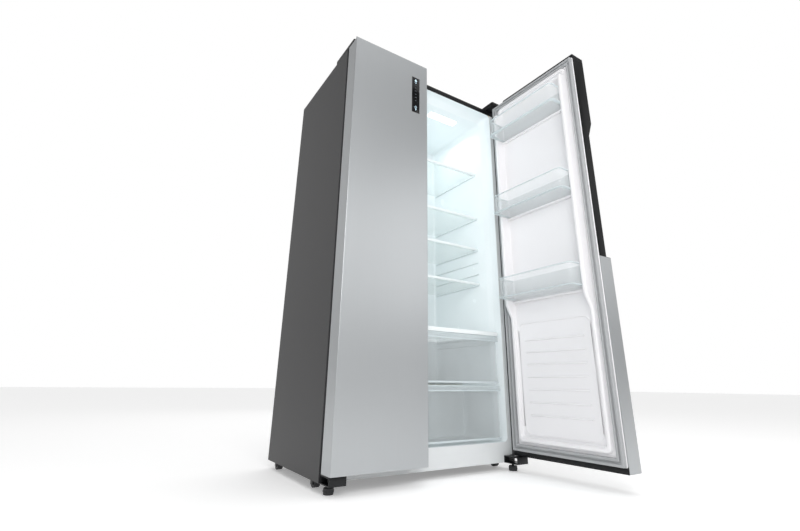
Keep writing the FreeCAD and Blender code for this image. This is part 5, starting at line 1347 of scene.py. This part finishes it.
class FRIDGE_OT_stage(FridgeOperator, bpy.types.Operator):
    """Set the camera, the lights and the pale floor"""

    bl_idname = "fridge.stage"
    bl_label = "Stage"

    # (name, place, aim, size, watts)
    SOFTBOXES = (
        ("front_softbox", (-0.4, -3.4, 2.6), (0.0, 0.0, 0.9), 2.4, 9.0),
        ("left_softbox", (-3.4, -1.2, 1.6), (-0.4, 0.2, 0.8), 2.0, 5.0),
        ("right_softbox", (2.3, -3.0, 2.0), (-0.2, 0.0, 1.0), 1.9, 13.0),
        ("panel_softbox", (-0.85, -1.6, 1.3), (0.45, 0.0, 1.0), 1.1, 19.0),
        ("top_softbox", (0.4, -0.8, 4.0), (0.0, 0.2, 0.0), 2.5, 14.0),
        ("rear_softbox", (1.5, 3.6, 2.6), (0.0, 0.4, 0.9), 2.4, 14.0),
    )
    GLOW = (0.93, 0.98, 1.0)
    # brightness of the room all round, as (sine of the elevation, level)
    ROOM = ((0.0, 0.30), (0.15, 0.48), (0.30, 0.62), (0.62, 0.26), (0.80, 0.25), (1.0, 0.45))
    # cosine of the angle off the backdrop's middle where it gives way to the room, and where it is full
    BACKDROP = (0.55, 0.63)
    FLOOR_REACH = 30.0

    def build(self, scene):
        settings = scene.fridge_stage
        self.camera(scene, settings)
        self.floor(settings)
        self.lights()
        self.world(scene, settings)

    def camera(self, scene, settings):
        yaw, pitch, roll = settings.yaw, settings.pitch, settings.roll
        ahead = Vector((math.sin(yaw) * math.cos(pitch), math.cos(yaw) * math.cos(pitch), math.sin(pitch)))
        right = Vector((math.cos(yaw), -math.sin(yaw), 0.0))
        up = right.cross(ahead)
        cosine, sine = math.cos(roll), math.sin(roll)
        right, up = right * cosine + up * sine, up * cosine - right * sine
        data = bpy.data.cameras.new("camera")
        data.lens = settings.lens
        data.sensor_width = 36.0
        data.shift_x = settings.shift_x
        data.shift_y = settings.shift_y
        data.clip_start = 0.01
        camera = bpy.data.objects.new("camera", data)
        place = Matrix.Translation((settings.camera_x, settings.camera_y, settings.camera_z))
        camera.matrix_world = place @ Matrix((right, up, -ahead)).transposed().to_4x4()
        scene.collection.objects.link(camera)
        scene.camera = camera

    def floor(self, settings):
        mesh = bmesh.new()
        reach = self.FLOOR_REACH
        corners = ((-reach, -reach), (reach, -reach), (reach, reach), (-reach, reach))
        mesh.faces.new([mesh.verts.new((x, y, 0.0)) for x, y in corners])
        floor = object_of("floor", mesh)
        tone = linear(settings.floor)
        plain = {"Base Color": tone, "Roughness": 0.9, "Specular IOR Level": 0.1}
        plain.update({"Emission Color": tone, "Emission Strength": 0.30})
        floor.data.materials.append(new_surface("pale_studio_floor", plain)[0])

    def lamp(self, name, place, turn, watts, **settings):
        """An area lamp that the camera doesn't see."""
        data = bpy.data.lights.new(name, "AREA")
        data.energy = watts
        for title, value in settings.items():
            setattr(data, title, value)
        lamp = bpy.data.objects.new(name, data)
        lamp.location = place
        lamp.rotation_euler = turn
        lamp.visible_camera = False
        bpy.context.scene.collection.objects.link(lamp)

    def lights(self):
        for name, place, aim, size, watts in self.SOFTBOXES:
            turn = (Vector(aim) - Vector(place)).to_track_quat("-Z", "Y").to_euler()
            self.lamp(name, place, turn, watts, shape="SQUARE", size=size)
        low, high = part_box("fridge_liner")
        x, y = (low[0] + high[0]) / 2, (low[1] + high[1]) / 2
        glows = (
            # (name, place, turn about Y, width, length, watts)
            ("ceiling_glow", (x, y, high[2] - 0.05), 0.0, 0.30, 0.20, 0.5),
            ("wall_glow", (low[0] + 0.03, y - 0.05, 0.85), -math.pi / 2, 1.30, 0.25, 0.8),
        )
        for name, place, turn, width, height, watts in glows:
            size = {"shape": "RECTANGLE", "size": width, "size_y": height}
            self.lamp(name, place, (0.0, turn, 0.0), watts, color=self.GLOW, **size)

    def world(self, scene, settings):
        """A white backdrop round one fixed direction, and a dimmer room all round."""
        world = bpy.data.worlds.new("studio")
        world.use_nodes = True
        tree = world.node_tree
        tree.nodes.clear()
        aim = add(tree, "ShaderNodeTexCoord").outputs["Generated"]
        level = add(tree, "ShaderNodeVectorMath", {0: aim, 1: (1.0, 1.0, 0.0)}, operation="MULTIPLY")
        level = add(tree, "ShaderNodeVectorMath", {0: level.outputs[0]}, operation="NORMALIZE")
        centre = (math.sin(settings.yaw), math.cos(settings.yaw), 0.0)
        near = add(tree, "ShaderNodeVectorMath", {0: level.outputs[0], 1: centre}, operation="DOT_PRODUCT")
        fade, full = self.BACKDROP
        share = add(tree, "ShaderNodeMapRange", {0: near.outputs["Value"], 1: fade, 2: full})
        rise = add(tree, "ShaderNodeSeparateXYZ", {0: aim})
        tones = add(tree, "ShaderNodeValToRGB", {0: rise.outputs["Z"]})
        ramp = tones.color_ramp
        for place, tone in self.ROOM:
            stop = ramp.elements.new(place) if 0.0 < place < 1.0 else ramp.elements[int(place)]
            stop.color = (tone, tone, tone, 1.0)
        room = add(tree, "ShaderNodeBackground", {"Color": tones.outputs[0], "Strength": 1.0})
        backdrop = add(tree, "ShaderNodeBackground", {"Color": (1.0, 1.0, 1.0, 1.0), "Strength": 1.0})
        sides = {0: share.outputs[0], 1: room.outputs[0], 2: backdrop.outputs[0]}
        both = add(tree, "ShaderNodeMixShader", sides)
        add(tree, "ShaderNodeOutputWorld", {"Surface": both.outputs[0]})
        scene.world = world
        scene.view_settings.view_transform = "Standard"


# ---------------------------------------------------------------- add-on


STEPS = (
    FRIDGE_OT_sheet_metal,
    FRIDGE_OT_cavities,
    FRIDGE_OT_door_panels,
    FRIDGE_OT_gaskets,
    FRIDGE_OT_door_bins,
    FRIDGE_OT_drawers,
    FRIDGE_OT_shelves,
    FRIDGE_OT_door_trim,
    FRIDGE_OT_display,
    FRIDGE_OT_machinery,
    FRIDGE_OT_running_gear,
    FRIDGE_OT_screws,
    FRIDGE_OT_stage,
)


class FRIDGE_PT_builder(bpy.types.Panel):
    """Sizes, colours and build steps of the refrigerator"""

    bl_idname = "FRIDGE_PT_builder"
    bl_label = "Refrigerator"
    bl_space_type = "VIEW_3D"
    bl_region_type = "UI"
    bl_category = "Refrigerator"

    def draw(self, context):
        for group in (context.scene.fridge_shape, context.scene.fridge_colours, context.scene.fridge_stage):
            box = self.layout.box()
            for name in group.__annotations__:
                box.prop(group, name)
        for step in STEPS:
            self.layout.operator(step.bl_idname)


GROUPS = (FridgeShapeSettings, FridgeColourSettings, FridgeStageSettings)


def register():
    for item in GROUPS + STEPS + (FRIDGE_PT_builder,):
        bpy.utils.register_class(item)
    bpy.types.Scene.fridge_shape = PointerProperty(type=FridgeShapeSettings)
    bpy.types.Scene.fridge_colours = PointerProperty(type=FridgeColourSettings)
    bpy.types.Scene.fridge_stage = PointerProperty(type=FridgeStageSettings)


def unregister():
    del bpy.types.Scene.fridge_stage
    del bpy.types.Scene.fridge_colours
    del bpy.types.Scene.fridge_shape
    for item in reversed(GROUPS + STEPS + (FRIDGE_PT_builder,)):
        bpy.utils.unregister_class(item)


def main():
    register()
    for step in STEPS:
        family, name = step.bl_idname.split(".")
        getattr(getattr(bpy.ops, family), name)()


if __name__ == "__main__":
    main()
